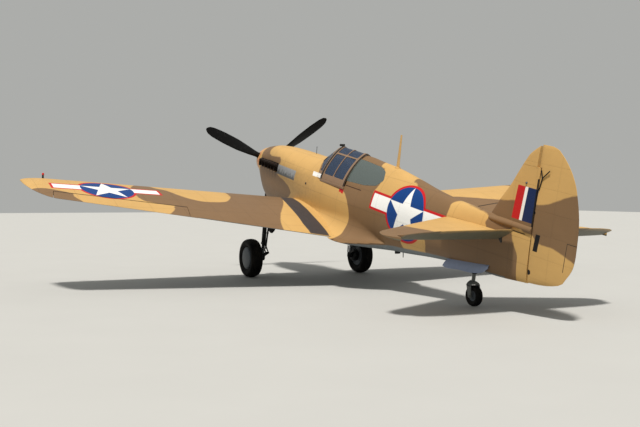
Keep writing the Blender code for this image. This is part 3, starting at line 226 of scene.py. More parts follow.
def smooth(table, column, at):
    """Cubic through one column of a table of stations, with the slope at each station from its neighbours."""
    xs, ys = table[:, 0], table[:, column]
    slopes = np.gradient(ys, xs)
    at = np.clip(at, xs[0], xs[-1])
    i = np.clip(np.searchsorted(xs, at) - 1, 0, len(xs) - 2)
    h = xs[i + 1] - xs[i]
    t = (at - xs[i]) / h
    return ((1 + 2 * t) * (1 - t) ** 2 * ys[i] + t * (1 - t) ** 2 * h * slopes[i]
            + t * t * (3 - 2 * t) * ys[i + 1] + t * t * (t - 1) * h * slopes[i + 1])


# Meshes from grids

def mesh_from(points, faces):
    """Mesh of a point array and its faces, doubles merged and faces turned outwards."""
    mesh = bpy.data.meshes.new("shape")
    mesh.from_pydata(points.reshape(-1, 3).tolist(), [], faces)
    bm = bmesh.new()
    bm.from_mesh(mesh)
    bmesh.ops.remove_doubles(bm, verts=bm.verts[:], dist=1e-6)
    bmesh.ops.dissolve_degenerate(bm, edges=bm.edges[:], dist=1e-7)
    bmesh.ops.recalc_face_normals(bm, faces=bm.faces[:])
    bm.to_mesh(mesh)
    bm.free()
    return mesh


def skin(rings, loop=False):
    """Closed skin over a grid of rings: a quad between each four neighbours, and one face over each end.

    loop joins the last ring to the first, as on a tyre.
    """
    rings = np.asarray(rings, float)
    rows, count = rings.shape[:2]
    index = np.arange(rows * count).reshape(rows, count)
    if loop:
        index = np.vstack([index, index[:1]])
    near, far = index[:-1], index[1:]
    quads = np.stack([near, np.roll(near, -1, 1), np.roll(far, -1, 1), far], axis=-1).reshape(-1, 4)
    faces = quads.tolist()
    if not loop:
        faces += [index[0][::-1].tolist(), index[-1].tolist()]
    return mesh_from(rings, faces)


def join(*meshes):
    """One mesh of several."""
    bm = bmesh.new()
    for mesh in meshes:
        bm.from_mesh(mesh)
    joined = bpy.data.meshes.new("joined")
    bm.to_mesh(joined)
    bm.free()
    return joined


def places(mesh):
    """Array of the mesh's points."""
    points = np.empty(len(mesh.vertices) * 3)
    mesh.vertices.foreach_get("co", points)
    return points.reshape(-1, 3)


def moved(mesh, matrix):
    """The mesh after a transform of its points."""
    mesh.transform(matrix)
    return mesh


def full_turn(points):
    """Evenly spaced angles once round, the last one short of the first."""
    return np.linspace(0, 2 * np.pi, points, endpoint=False)


def both(low, high, side):
    """Two distances from the middle plane as x on one side, in rising order."""
    return sorted((side * low, side * high))


def carve(mesh, *others, operation="DIFFERENCE"):
    """Exact Boolean of a mesh with each other mesh in turn."""
    scene = bpy.context.scene.collection
    body = bpy.data.objects.new("body", mesh)
    scene.objects.link(body)
    cutters = []
    for other in others:
        cutter = bpy.data.objects.new("cutter", other)
        scene.objects.link(cutter)
        cutters.append(cutter)
        step = body.modifiers.new("cut", "BOOLEAN")
        step.operation = operation
        step.object = cutter
        step.solver = "EXACT"
    graph = bpy.context.evaluated_depsgraph_get()
    graph.update()
    result = bpy.data.meshes.new_from_object(body.evaluated_get(graph))
    for item in [body, *cutters]:
        bpy.data.objects.remove(item)
    return result


def block(low, high, round_off=0.0):
    """Box between two corners, its edges rounded by a small bevel."""
    bm = bmesh.new()
    bmesh.ops.create_cube(bm, size=1.0)
    low, high = Vector(map(min, low, high)), Vector(map(max, low, high))
    place = Matrix.Translation((low + high) / 2) @ Matrix.Diagonal((*(high - low), 1.0))
    bmesh.ops.transform(bm, matrix=place, verts=bm.verts[:])
    if round_off:
        bmesh.ops.bevel(bm, geom=bm.edges[:], offset=round_off, segments=3, profile=0.5, affect="EDGES")
    mesh = bpy.data.meshes.new("block")
    bm.to_mesh(mesh)
    bm.free()
    return mesh


def prism(outline, low, high, axis="z"):
    """Flat outline of (a, b) points carried from low to high along one axis."""
    order = {"x": (2, 0, 1), "y": (0, 2, 1), "z": (0, 1, 2)}[axis]
    outline = np.asarray(outline, float)
    rings = [np.column_stack([outline, np.full(len(outline), level)])[:, order] for level in (low, high)]
    return skin(rings)


def tube(path, radius, sides=20):
    """Round tube along a path: at each point a circle of its radius, square to the path's direction there."""
    path = np.asarray(path, float)
    radius = np.broadcast_to(np.asarray(radius, float), len(path))
    ahead = np.gradient(path, axis=0)
    ahead /= np.linalg.norm(ahead, axis=1)[:, None]
    spare = np.array([0.0, 0.0, 1.0]) if abs(ahead[:, 2]).max() < 0.9 else np.array([1.0, 0.0, 0.0])
    if abs(ahead @ spare).max() > 0.99:
        spare = np.array([0.0, 1.0, 0.0])
    side = np.cross(ahead, spare)
    side /= np.linalg.norm(side, axis=1)[:, None]
    over = np.cross(side, ahead)
    turn = full_turn(sides)[None, :, None]
    circle = np.cos(turn) * side[:, None] + np.sin(turn) * over[:, None]
    return skin(path[:, None] + radius[:, None, None] * circle)


def turned(profile, centre, axis, sides=64, closed=False):
    """Turned shape: a profile of (radius, height) points carried round an axis through a centre."""
    profile = np.asarray(profile, float)
    axis = Vector(axis).normalized()
    spin = axis.to_track_quat("Z", "Y").to_matrix()
    turn = full_turn(sides)
    radius, height = profile[:, 0, None], profile[:, 1, None]
    rings = np.stack([radius * np.cos(turn), radius * np.sin(turn), height + 0 * turn], axis=-1)
    rings = rings @ np.array(spin).T + np.asarray(centre, float)
    return skin(rings, loop=closed)


def rounded(points, radius, steps=6):
    """Outline whose corners are arc-like curves that start and end radius away from the corner."""
    points = np.asarray(points, float)
    before, after = np.roll(points, 1, 0) - points, np.roll(points, -1, 0) - points
    start = points + before / np.linalg.norm(before, axis=1)[:, None] * radius
    end = points + after / np.linalg.norm(after, axis=1)[:, None] * radius
    t = np.linspace(0, 1, steps)[None, :, None]
    curve = (1 - t) ** 2 * start[:, None] + 2 * t * (1 - t) * points[:, None] + t * t * end[:, None]
    return curve.reshape(-1, 2)


def closed_curve(points, steps=8):
    """Smooth closed curve through chosen points: on each span a cubic with end slopes from the neighbours."""
    p1 = np.asarray(points, float)
    p0, p2, p3 = np.roll(p1, 1, 0), np.roll(p1, -1, 0), np.roll(p1, -2, 0)
    t = np.linspace(0, 1, steps, endpoint=False)[None, :, None]
    p0, p1, p2, p3 = (p[:, None] for p in (p0, p1, p2, p3))
    curve = 0.5 * (2 * p1 + (p2 - p0) * t + (2 * p0 - 5 * p1 + 4 * p2 - p3) * t ** 2
                   + (3 * p1 - 3 * p2 + p3 - p0) * t ** 3)
    return curve.reshape(-1, 2)


def distance_to(points, outline):
    """Signed distance of (a, b) points to a closed outline's nearest segment, negative inside (even-odd)."""
    start = np.asarray(outline, float)
    run = np.roll(start, -1, 0) - start
    best = np.full(len(points), 1e9)
    inside = np.zeros(len(points), bool)
    for a, d in zip(start, run):
        off = points - a
        share = np.clip(off @ d / (d @ d + 1e-12), 0, 1)
        best = np.minimum(best, np.hypot(*(off - share[:, None] * d).T))
        crosses = (a[1] > points[:, 1]) != (a[1] + d[1] > points[:, 1])
        where = a[0] + d[0] * (points[:, 1] - a[1]) / (d[1] if d[1] else 1e-12)
        inside ^= crosses & (points[:, 0] < where)
    return np.where(inside, -best, best)


# Shapes of the airframe

def body_section(ys, points=160, grow=0.0):
    """Rings of the body at stations ys.

    Above and below its greatest width each ring is a quarter of a superellipse:
    x = half-width * |sin t| ^ (2 / squareness), z = middle + reach * |cos t| ^ (2 / squareness).
    The wing-root fillet adds a circular flare that grows from nothing to its full reach at its foot.
    """
    ys = np.asarray(ys, float)[:, None]
    top, bottom, half, middle, above, below = (smooth(BODY_STATIONS, k, ys) for k in range(1, 7))
    turn = full_turn(points)[None, :]
    c, s = np.cos(turn), np.sin(turn)
    power = np.where(c > 0, above, below)
    side = (half + grow) * np.abs(s) ** (2 / power)
    reach = np.where(c > 0, top - middle, middle - bottom) + grow
    z = middle + reach * np.sign(c) * np.abs(c) ** (2 / power)
    first, last = FILLET_STATIONS[0, 0], FILLET_STATIONS[-1, 0]
    flare = np.where((ys > first) & (ys < last), np.maximum(smooth(FILLET_STATIONS, 1, ys), 0.0), 0.0)
    foot = smooth(FILLET_STATIONS, 2, ys)
    share = np.clip((middle - foot) / (middle - bottom), 0.0, 0.98)
    at_foot = half * (1 - share ** below) ** (1 / below)
    extra = flare + (half - at_foot) * np.clip(flare / 0.15, 0, 1)
    w = 1 - np.clip((z - foot) / np.maximum(flare, 1e-4), 0, 1)
    flared = side + extra * (1 - np.sqrt(1 - w ** 2))
    low = np.minimum(side * (at_foot + extra) / at_foot, at_foot + extra)
    width = np.where(z > foot, flared, low)
    return np.stack([np.sign(s) * width, ys + 0 * turn, z], axis=-1)


def body_between(first, last, rows, grow=0.0):
    """Closed stretch of the body between two stations, grown by grow."""
    return skin(body_section(np.linspace(first, last, rows), grow=grow))


def aerofoil(thickness, points=60, camber=0.02, camber_at=0.2):
    """Cosine-spaced places and the heights of both sides there, as parts of the chord.

    The thickness and the camber line are those of the four-digit family.
    """
    u = (1 - np.cos(np.linspace(0, np.pi, points))) / 2
    swell = 0.2969 * np.sqrt(u) - 0.1260 * u - 0.3516 * u ** 2 + 0.2843 * u ** 3 - 0.1036 * u ** 4
    half = 5 * thickness * swell
    fore = camber / camber_at ** 2 * (2 * camber_at * u - u * u)
    aft = camber / (1 - camber_at) ** 2 * (1 - 2 * camber_at + 2 * camber_at * u - u * u)
    line = np.where(u < camber_at, fore, aft)
    return u, line + half, line - half


def wing_edges(x):
    """y of the leading and trailing edges at span x, drawn in to a rounded tip."""
    lead = LEADING_EDGE + LEADING_SWEEP * x / HALF_SPAN
    chord = ROOT_CHORD + (TIP_CHORD - ROOT_CHORD) * x / HALF_SPAN
    out = np.clip((x - (HALF_SPAN - TIP_ROUND)) / TIP_ROUND, 0.0, 1.0)
    pull = 1 - np.sqrt(np.maximum(1 - out ** TIP_FULLNESS, 0.0))
    middle = lead + TIP_MIDDLE * chord
    return lead + (middle - lead) * pull, lead + chord + (middle - lead - chord) * pull


def wing_plane(x, y):
    """Height of the wing's chord surface, which is twisted a little nose-down towards the tip."""
    incidence = ROOT_INCIDENCE + (TIP_INCIDENCE - ROOT_INCIDENCE) * x / HALF_SPAN
    return WING_HEIGHT + x * math.tan(DIHEDRAL) - (y - WING_TWIST_POINT) * np.tan(incidence)


def wing_thickness(x):
    """Thickness as a part of the chord, with straight skin lines from root to tip."""
    share = x / HALF_SPAN
    root, tip = ROOT_THICKNESS * ROOT_CHORD, TIP_THICKNESS * TIP_CHORD
    return (root + (tip - root) * share) / (ROOT_CHORD + (TIP_CHORD - ROOT_CHORD) * share)


def wing_lines(x, grow=0.0, points=60):
    """y, upper z and lower z along the wing sections at spans x."""
    x = np.atleast_1d(np.asarray(x, float))[:, None]
    lead, trail = wing_edges(x)
    chord = trail - lead
    u, over, under = aerofoil(wing_thickness(x), points)
    y = lead - grow + (chord + 2 * grow) * u
    plane = wing_plane(x, y)
    blunt = 0.0025 * u
    return y, plane + chord * over + blunt + grow, plane + chord * under - blunt - grow


def wing_skin(side, rows=96):
    """Closed wing: rings from root to tip, each over the top from the trailing edge and back below."""
    tip = HALF_SPAN - TIP_ROUND * (1 - np.sin(np.linspace(0.05, 1.53, 30)))
    spans = np.concatenate([np.linspace(GAP, HALF_SPAN - TIP_ROUND, rows), tip])
    y, upper, lower = wing_lines(spans)
    ys = np.concatenate([y[:, ::-1], y[:, 1:]], axis=1)
    zs = np.concatenate([upper[:, ::-1], lower[:, 1:]], axis=1)
    return skin(np.stack([side * spans[:, None] + 0 * ys, ys, zs], axis=-1))


def line_at(x, y):
    """Upper and lower height of the wing at one place."""
    ys, upper, lower = wing_lines(x)
    return float(np.interp(y, ys[0], upper[0])), float(np.interp(y, ys[0], lower[0]))


def aileron_line(share):
    """Point of the aileron's hinge line and half the wing's thickness there."""
    x = AILERON_INNER[0] + (AILERON_OUTER[0] - AILERON_INNER[0]) * share
    y = AILERON_INNER[1] + (AILERON_OUTER[1] - AILERON_INNER[1]) * share
    high, low = line_at(x, y)
    return x, y, (high + low) / 2, (high - low) / 2


def aileron_room(side, grow, fill):
    """Everything behind the aileron's hinge line, and a round nose that follows the wing's thickness."""
    start, end = np.array(AILERON_INNER), np.array(AILERON_OUTER)
    length = np.linalg.norm(end - start)
    along = (end - start) / length
    aft = np.array([-along[1], along[0]])
    near, far = start - grow * along, end + grow * along
    plan = np.array([near - grow * aft, far - grow * aft, far + 1.5 * aft, near + 1.5 * aft])
    over = (grow - NOSE_SHORT) / length
    turn = full_turn(40)
    rings = []
    for share in np.linspace(-over, 1 + over, 12):
        x, y, z, radius = aileron_line(share)
        reach = radius * fill + grow
        back = reach * np.cos(turn)
        rings.append(np.column_stack([side * (x + back * aft[0]), y + back * aft[1],
                                      z + reach * np.sin(turn)]))
    return prism(plan * (side, 1), -1.2, 0.6), skin(rings)


def flap_plate(side, over, ahead, behind, low, high):
    """Flat plate along the wing's lower skin, from the flap's hinge back, grown by the given lengths."""
    rings = []
    for x in (FLAP_INNER - over, 0.8, 1.6, 2.6, FLAP_OUTER + over):
        y, _, lower = (line[0] for line in wing_lines(x))
        front, back = y[-1] - FLAP_CHORD * (y[-1] - y[0]), y[-1] - FLAP_LIP
        z0, z1 = np.interp([front, back], y, lower)
        slope = (z1 - z0) / (back - front)
        near, far = front - ahead, back + behind
        za, zb = z0 - slope * ahead, z1 + slope * behind
        rings.append([(side * x, near, za + low), (side * x, far, zb + low), (side * x, far, zb + high),
                      (side * x, near, za + high)])
    return skin(rings)


def control_ring(chord, half, nose=None):
    """Section of a control surface, behind and above its hinge: a round nose, then nearly straight sides."""
    nose = half if nose is None else nose
    turn = np.linspace(np.pi / 2, 3 * np.pi / 2, 17)
    front = np.column_stack([nose * np.cos(turn), half * np.sin(turn)])
    edge = min(0.004, half)
    v = np.linspace(0.08, 1.0, 12)
    back = np.column_stack([chord * v, half + (edge - half) * v ** 1.1])
    return np.concatenate([front, back * (1, -1), back[::-1]])


def plane_section(x, grow=0.0, trail=None):
    """Ring of the tailplane at span x, ahead of the elevator: an elliptic nose that thins slightly aft."""
    lead, half = float(smooth(PLANE_STATIONS, 1, abs(x))), float(smooth(PLANE_STATIONS, 3, abs(x)))
    trail = ELEVATOR_HINGE - 0.028 if trail is None else trail
    u = 1 - np.cos(np.linspace(0, np.pi / 2, 24))
    swell = half * (1.12 * np.sqrt(np.clip(1 - (1 - u) ** 2.4, 0, 1)) - 0.12 * u ** 2)
    y = lead - grow + (trail - lead + 2 * grow) * u
    upper = np.column_stack([np.full(24, x), y, ELEVATOR_HEIGHT + swell + grow])
    lower = np.column_stack([np.full(24, x), y, ELEVATOR_HEIGHT - swell - grow])
    return np.concatenate([upper[::-1], lower])


def elevator_section(x, grow=0.0, tail=None):
    """Ring of the elevator at span x, undeflected."""
    trail = float(smooth(PLANE_STATIONS, 2, abs(x))) if tail is None else tail
    ring = control_ring(trail - ELEVATOR_HINGE, float(smooth(PLANE_STATIONS, 3, abs(x))) + grow)
    return np.column_stack([np.full(len(ring), x), ELEVATOR_HINGE + ring[:, 0], ELEVATOR_HEIGHT + ring[:, 1]])


def fin_section(z):
    """Ring of the fin at height z: an elliptic nose back to the rudder's gap."""
    lead, half = float(smooth(TAIL_STATIONS, 1, z)), float(smooth(TAIL_STATIONS, 3, z))
    trail = RUDDER_HINGE - (0.035 if z < HORN_BASE - 0.007 else HORN_REACH + 0.024)
    u = 1 - np.cos(np.linspace(0, np.pi / 2, 28))
    swell = half * np.sqrt(np.clip(1 - (1 - u) ** 2.2, 0, 1))
    y = lead + (trail - lead) * u
    right = np.column_stack([swell, y, np.full(28, z)])
    return np.concatenate([right[::-1], right * (-1, 1, 1)])


def rudder_levels():
    """Heights of the rudder's rings: close at its rounded foot and top, with a pair at the horn's step."""
    foot = np.array([-0.338, -0.330, -0.322, -0.310, -0.290, -0.260, -0.225, -0.180, -0.130])
    middle = np.linspace(-0.09, HORN_BASE - 0.03, 26)
    top = HORN_BASE + (1.552 - HORN_BASE) * np.sin(np.linspace(0, np.pi / 2, 18))
    return np.concatenate([foot, middle, [HORN_BASE - 0.002], top])


def rudder_skin(grow):
    """Rudder with a round nose on its hinge and a small balance horn at the top, grown by grow."""
    rings = []
    for z in rudder_levels():
        half = float(smooth(TAIL_STATIONS, 3, z)) + grow
        trail = float(smooth(TAIL_STATIONS, 2, z))
        nose = max(half, HORN_REACH + grow) if z >= HORN_BASE else half
        level = z + (grow if z > 1.5 else -grow if z < -0.33 or abs(z - HORN_BASE) < 0.01 else 0.0)
        ring = control_ring(trail - RUDDER_HINGE, half, nose)
        rings.append(np.column_stack([ring[:, 1], RUDDER_HINGE + ring[:, 0], np.full(len(ring), level)]))
    return skin(rings)


def arch(y, half, base, top, points=49, square=1.35):
    """Open arch of the glazing: half a superellipse from the port foot over the top to the starboard foot."""
    turn = np.linspace(0.0, np.pi, points)
    c, s = np.cos(turn), np.sin(turn)
    x = half * np.sign(c) * np.abs(c) ** (2 / square)
    z = base + (top - base) * np.abs(s) ** (2 / square)
    return np.column_stack([x, np.full(points, y), z])


def glazing_at(stations, ys):
    """Stations of the glazing between the given ones, on a smooth curve through them."""
    table = np.asarray(stations, float)
    return [(y, *(float(smooth(table, k, y)) for k in (1, 2, 3))) for y in ys]


def arch_shell(stations, depth_out, depth_in):
    """Curved shell between two depths inside the glazing's outer line.

    A station is y, half-width, base, top.
    """
    rings = []
    for y, half, base, top in stations:
        outer = arch(y, half - depth_out, base, top - depth_out)
        inner = arch(y, half - depth_in, base, top - depth_in)
        rings.append(np.concatenate([outer, inner[::-1]]))
    return skin(rings)


# Glazing: y, half-width, base, top
HOOD = [(HOOD_FRONT, 0.436, SILL + 0.005, 0.785), (4.250, 0.438, SILL + 0.005, 0.780),
        (HOOD_REAR, 0.440, SILL + 0.005, 0.772)]
SCREEN = [(WINDSHIELD_FRONT, 0.300, 0.150, 0.470), (3.400, 0.365, 0.150, 0.600), (3.580, 0.405, 0.150, 0.705),
          (3.720, 0.426, 0.150, 0.765), (HOOD_FRONT - 0.010, 0.432, 0.150, 0.785)]


# Camouflage: brown areas and the sand patches left in them, as points chosen on their edges. Those of the
# body and the fin are (y, z) as seen from the side, those of the wings and the tailplane (x, y) from above.

NOSE_PATCH = [(0.62, 0.60), (0.86, 0.60), (1.02, 0.36), (1.14, 0.27), (1.32, 0.24), (1.55, 0.255),
              (1.74, 0.272), (1.86, 0.225), (1.86, 0.14), (1.40, 0.07), (0.95, 0.05), (0.74, 0.16),
              (0.64, 0.36)]
CHIN_PATCH = [(0.80, -0.04), (1.20, -0.01), (1.60, -0.01), (1.80, -0.035), (1.97, -0.097), (2.25, -0.143),
              (2.41, -0.185), (2.52, -0.226), (2.61, -0.297), (2.62, -0.34), (2.50, -0.432), (2.38, -0.52),
              (2.30, -0.75), (2.10, -1.10), (0.66, -1.10), (0.66, -0.40)]
AFT_AREA = [(3.62, 0.26), (3.74, 0.145), (4.20, 0.118), (4.60, 0.100), (4.75, 0.080), (4.885, -0.002),
            (4.985, -0.123), (5.024, -0.216), (5.042, -0.313), (5.038, -0.434), (5.034, -0.535),
            (5.06, -0.61), (5.10, -0.69), (5.30, -1.10), (9.05, -1.10), (9.15, -0.34), (9.14, -0.05),
            (8.98, 0.22), (9.00, 0.36), (9.70, 0.40), (9.70, 1.10), (3.55, 1.10)]
SPINE_SAND = [(5.66, 0.20), (5.70, 0.34), (5.72, 0.46), (5.58, 0.62), (5.38, 0.70), (5.30, 1.20),
              (6.38, 1.20), (6.44, 0.62), (6.54, 0.555), (6.66, 0.50), (6.78, 0.40), (6.84, 0.26),
              (6.80, 0.12), (6.40, 0.04), (5.95, 0.06)]
FLANK_SAND = [(7.57, 0.344), (7.56, 0.405), (7.59, 0.448), (7.65, 0.472), (7.72, 0.478), (7.93, 0.462),
              (8.20, 0.435), (8.35, 0.425), (8.42, 0.385), (8.40, 0.30), (8.44, 0.22), (8.40, 0.06),
              (8.00, 0.02), (7.68, 0.06), (7.58, 0.20)]
BELLY_SAND = [(6.50, -0.43), (6.60, -0.36), (6.81, -0.31), (7.10, -0.24), (7.13, -0.32), (7.08, -0.45),
              (7.02, -0.62), (6.60, -0.66)]
FIN_AREA = [(8.00, 0.64), (8.62, 0.675), (8.92, 0.728), (9.30, 0.745), (9.52, 0.78), (9.72, 0.865),
            (10.02, 0.990), (10.50, 1.06), (10.50, 0.02), (10.14, 0.130), (9.90, 0.205), (9.70, 0.238),
            (9.45, 0.245), (9.37, 0.325), (9.10, 0.33), (8.00, 0.30)]
WING_TIP_AREA = [(6.00, 3.30), (5.62, 3.44), (5.48, 3.50), (5.37, 3.56), (5.21, 3.64), (5.10, 3.69),
                 (5.03, 3.74), (4.98, 3.84), (4.95, 4.20), (5.00, 4.90), (6.00, 4.90)]
WING_AREA = [(3.60, 2.20), (3.72, 2.80), (3.85, 3.10), (3.90, 3.43), (3.89, 3.67), (3.87, 3.78), (3.81, 3.90),
             (3.69, 3.955), (3.52, 4.05), (3.46, 4.50), (3.40, 5.40), (1.70, 5.60), (1.60, 4.95),
             (1.585, 4.76), (1.516, 4.51), (1.384, 4.19), (1.21, 3.86), (1.08, 3.62), (0.985, 3.42),
             (0.92, 3.25), (0.80, 3.05), (0.60, 2.75), (0.42, 2.20)]
WING_EDGE_SAND = [(3.46, 2.10), (3.42, 2.92), (3.23, 3.134), (3.085, 3.415), (2.935, 3.602), (2.76, 3.711),
                  (2.637, 3.737), (2.44, 3.716), (2.265, 3.662), (2.133, 3.517), (2.037, 3.332),
                  (2.005, 3.179), (1.98, 2.90), (1.96, 2.10)]
AILERON_INNER_AREA = [(3.00, 3.80), (3.33, 4.06), (3.365, 4.18), (3.42, 4.28), (3.53, 4.42), (3.70, 4.56),
                      (3.75, 4.90), (3.00, 4.90)]
AILERON_OUTER_AREA = [(5.03, 3.50), (5.003, 3.80), (4.995, 3.90), (4.96, 4.00), (4.90, 4.15), (4.86, 4.60),
                      (6.00, 4.60), (6.00, 3.50)]
RIGHT_WING_AREAS = [
    [(-6.00, 2.20), (-4.75, 2.20), (-4.80, 2.80), (-5.05, 3.10), (-5.40, 3.25), (-6.00, 3.30)],
    [(-2.60, 5.40), (-2.60, 4.60), (-2.66, 3.90), (-2.84, 3.44), (-3.30, 3.565), (-3.57, 3.69), (-3.85, 3.80),
     (-4.20, 3.95), (-4.45, 4.30), (-4.50, 5.40)],
    [(-2.60, 2.20), (-2.50, 2.90), (-2.20, 3.30), (-1.80, 3.60), (-1.60, 4.30), (-1.55, 5.50), (-0.80, 5.50),
     (-0.90, 4.50), (-1.20, 3.80), (-1.30, 3.10), (-1.10, 2.20)]]
# Dark walkway beside the left wing's root, as seen from above
WALKWAY = [(0.44, 2.45), (0.45, 2.60), (0.55, 2.97), (0.586, 3.20), (0.603, 3.39), (0.634, 3.60),
           (0.649, 3.78), (0.675, 3.98), (0.694, 4.17), (0.718, 4.50), (0.741, 4.78), (0.782, 5.06),
           (0.81, 5.25), (1.15, 5.20), (1.122, 4.95), (1.105, 4.77), (1.088, 4.52), (1.058, 4.335),
           (1.035, 4.16), (1.006, 3.90), (0.971, 3.62), (0.917, 3.30), (0.83, 2.95), (0.72, 2.68),
           (0.62, 2.45)]
TAIL_LEFT_AREA = [(2.20, 7.60), (1.42, 7.70), (1.335, 8.20), (1.284, 8.37), (1.206, 8.50), (1.149, 8.61),
                  (1.11, 8.72), (1.16, 8.90), (1.36, 9.10), (1.50, 9.40), (2.20, 9.40)]
TAIL_RIGHT_AREA = [(-0.55, 7.30), (-0.70, 8.25), (-1.05, 8.55), (-1.15, 8.90), (-1.10, 9.40), (-0.45, 9.40),
                   (-0.40, 8.90), (-0.28, 8.45), (-0.22, 7.30)]


def nearest(flat, *outlines):
    """Signed distance of (a, b) points to the nearest of several smooth outlines."""
    return np.min([distance_to(flat, closed_curve(outline)) for outline in outlines], axis=0)


def brown_side(points):
    """Signed distance to the brown areas of body, fin and rudder, seen from the side.

    To starboard the pattern slides aft with distance from the middle, so that it isn't a mirror image.
    """
    x, y, z = points.T
    slide = 1.4 * np.minimum(x, 0.0) * np.clip((9.0 - y) / 2.0, 0, 1)
    flat = np.column_stack([y + slide, z])
    aft = np.maximum(nearest(flat, AFT_AREA), -nearest(flat, SPINE_SAND, FLANK_SAND, BELLY_SAND))
    body = np.minimum(nearest(flat, NOSE_PATCH, CHIN_PATCH), aft)
    on_fin = ((z > 0.46) & (y > 8.1)) | (y > 9.17)
    return np.where(on_fin, nearest(flat, FIN_AREA), body)


def brown_plan(points):
    """Signed distance to the brown areas of the wings, seen from above."""
    flat = points[:, :2]
    inner = np.maximum(nearest(flat, WING_AREA), -nearest(flat, WING_EDGE_SAND))
    left = np.minimum(nearest(flat, WING_TIP_AREA), inner)
    return np.where(flat[:, 0] > 0, left, nearest(flat, *RIGHT_WING_AREAS))


def brown_tail(points):
    """Signed distance to the brown areas of tailplane and elevators, seen from above."""
    return nearest(points[:, :2], TAIL_LEFT_AREA, TAIL_RIGHT_AREA)


def brown_aileron(points):
    """Signed distance to the brown ends of the left aileron; the right one follows its wing."""
    left = nearest(points[:, :2], AILERON_INNER_AREA, AILERON_OUTER_AREA)
    return np.where(points[:, 0] > 0, left, brown_plan(points))


def walkway(points):
    """Signed distance to the dark walkway, on the skin up to 0.27 m above the wing's chord surface."""
    x, y, z = points.T
    over = z - wing_plane(np.abs(x), y)
    return np.maximum(distance_to(points[:, :2], WALKWAY), np.maximum(over - 0.27, 0.01 - over))


def girth(points):
    """Height of a point on the body's flank, measured along the skin from the level of the greatest width."""
    y, z = points.T[1:]
    stations = np.linspace(COWL_FRONT, STERN, 120)
    rings = body_section(stations, 722)[:, :362]
    steps = np.linalg.norm(np.diff(rings, axis=1), axis=2)
    along = np.concatenate([np.zeros((len(stations), 1)), np.cumsum(steps, axis=1)], axis=1)
    widest = np.argmax(rings[:, :, 0] * (rings[:, :, 2] > -0.25), axis=1)
    rows = np.clip(np.searchsorted(stations, y), 1, len(stations) - 1)
    found = np.zeros(len(points))
    for shift in (0, 1):
        row = rows - 1 + shift
        share = 1 - abs(y - stations[row]) / (stations[1] - stations[0])
        for k in np.unique(row):
            chosen = row == k
            ring, mid = rings[k], widest[k]
            up = np.interp(z[chosen], ring[::-1, 2], (along[k, mid] - along[k])[::-1])
            found[chosen] += np.clip(share[chosen], 0, 1) * (up + ring[mid, 2])
    return found


# Shader maths

class Link:
    """A socket of the material being made. Arithmetic on it adds Math nodes to the same tree."""

    def __init__(self, tree, socket=None):
        self.tree, self.socket = tree, socket

    def node(self, kind, settings, inputs, output=0):
        """Any node: its settings first, then the value or link of each of its sockets."""
        made = self.tree.nodes.new(kind)
        for key, value in settings.items():
            setattr(made, key, value)
        for key, value in inputs.items():
            if isinstance(value, Link):
                self.tree.links.new(value.socket, made.inputs[key])
            else:
                made.inputs[key].default_value = value
        return Link(self.tree, made.outputs[output]) if made.outputs else made

    def math(self, operation, *values):
        return self.node("ShaderNodeMath", {"operation": operation}, dict(enumerate(values)))

    def __add__(self, other):
        return self.math("ADD", self, other)

    def __sub__(self, other):
        return self.math("SUBTRACT", self, other)

    def __rsub__(self, other):
        return self.math("SUBTRACT", other, self)

    def __mul__(self, other):
        return self.math("MULTIPLY", self, other)

    def __truediv__(self, other):
        return self.math("DIVIDE", self, other)

    def __neg__(self):
        return self * -1.0

    def __abs__(self):
        return self.math("ABSOLUTE", self)

    __radd__ = __add__
    __rmul__ = __mul__

    def power(self, other):
        return self.math("POWER", self, other)

    def larger(self, other):
        return self.math("MAXIMUM", self, other)

    def smaller(self, other):
        return self.math("MINIMUM", self, other)

    def inside(self, soft=0.006):
        """1 where a signed distance is negative, 0 where it is positive, over a soft edge."""
        inputs = {"Value": self, "From Min": soft / 2, "From Max": -soft / 2}
        return self.node("ShaderNodeMapRange", {"clamp": True}, inputs)

    def between(self, low, high, soft=0.006):
        """1 between two values, 0 outside them."""
        return (low - self).larger(self - high).inside(soft)

    def to_line(self, spacing, offset):
        """Distance from the nearest of evenly spaced lines."""
        return abs(self.math("FLOORED_MODULO", self - (offset - spacing / 2), spacing) - spacing / 2)


def box_distance(u, v, half_u, half_v):
    """Signed distance to the nearer pair of sides of a rectangle about the origin."""
    return (abs(u) - half_u).larger(abs(v) - half_v)


def disc_distance(u, v, radius):
    """Signed distance to a circle about the origin."""
    return (u * u + v * v).power(0.5) - radius


def mix(first, second, factor):
    """Colour between two colours."""
    start = next(value for value in (factor, first, second) if isinstance(value, Link))
    return start.node("ShaderNodeMix", {"data_type": "RGBA"}, {0: factor, 6: first, 7: second}, 2)


def shade(colour, amount):
    """Colour made darker or lighter by a factor."""
    base = colour if isinstance(colour, Link) else colour[:3]
    return amount.node("ShaderNodeVectorMath", {"operation": "SCALE"}, {0: base, "Scale": amount})


def noise(place, scale, detail=3.0, roughness=0.55):
    """Noise texture over the given place."""
    inputs = {"Vector": place, "Scale": scale, "Detail": detail, "Roughness": roughness}
    return place.node("ShaderNodeTexNoise", {}, inputs)


def new_finish(name):
    """Empty material with the Object coordinates and the airframe's x, y and z as links."""
    material = bpy.data.materials.new(name)
    material.use_nodes = True
    material.node_tree.nodes.clear()
    place = Link(material.node_tree).node("ShaderNodeTexCoord", {}, {}, "Object")
    from_nose = place.node("ShaderNodeVectorMath", {"operation": "SUBTRACT"}, {0: place, 1: tuple(NOSE)})
    axes = [from_nose.node("ShaderNodeVectorMath", {"operation": "DOT_PRODUCT"},
                           {0: from_nose, 1: tuple(axis)},
                           "Value") for axis in (PORT, AFT, UP)]
    return material, place, axes


def attribute(place, name):
    """Values that the mesh carries at its points."""
    return place.node("ShaderNodeAttribute", {"attribute_name": name}, {}, "Fac")


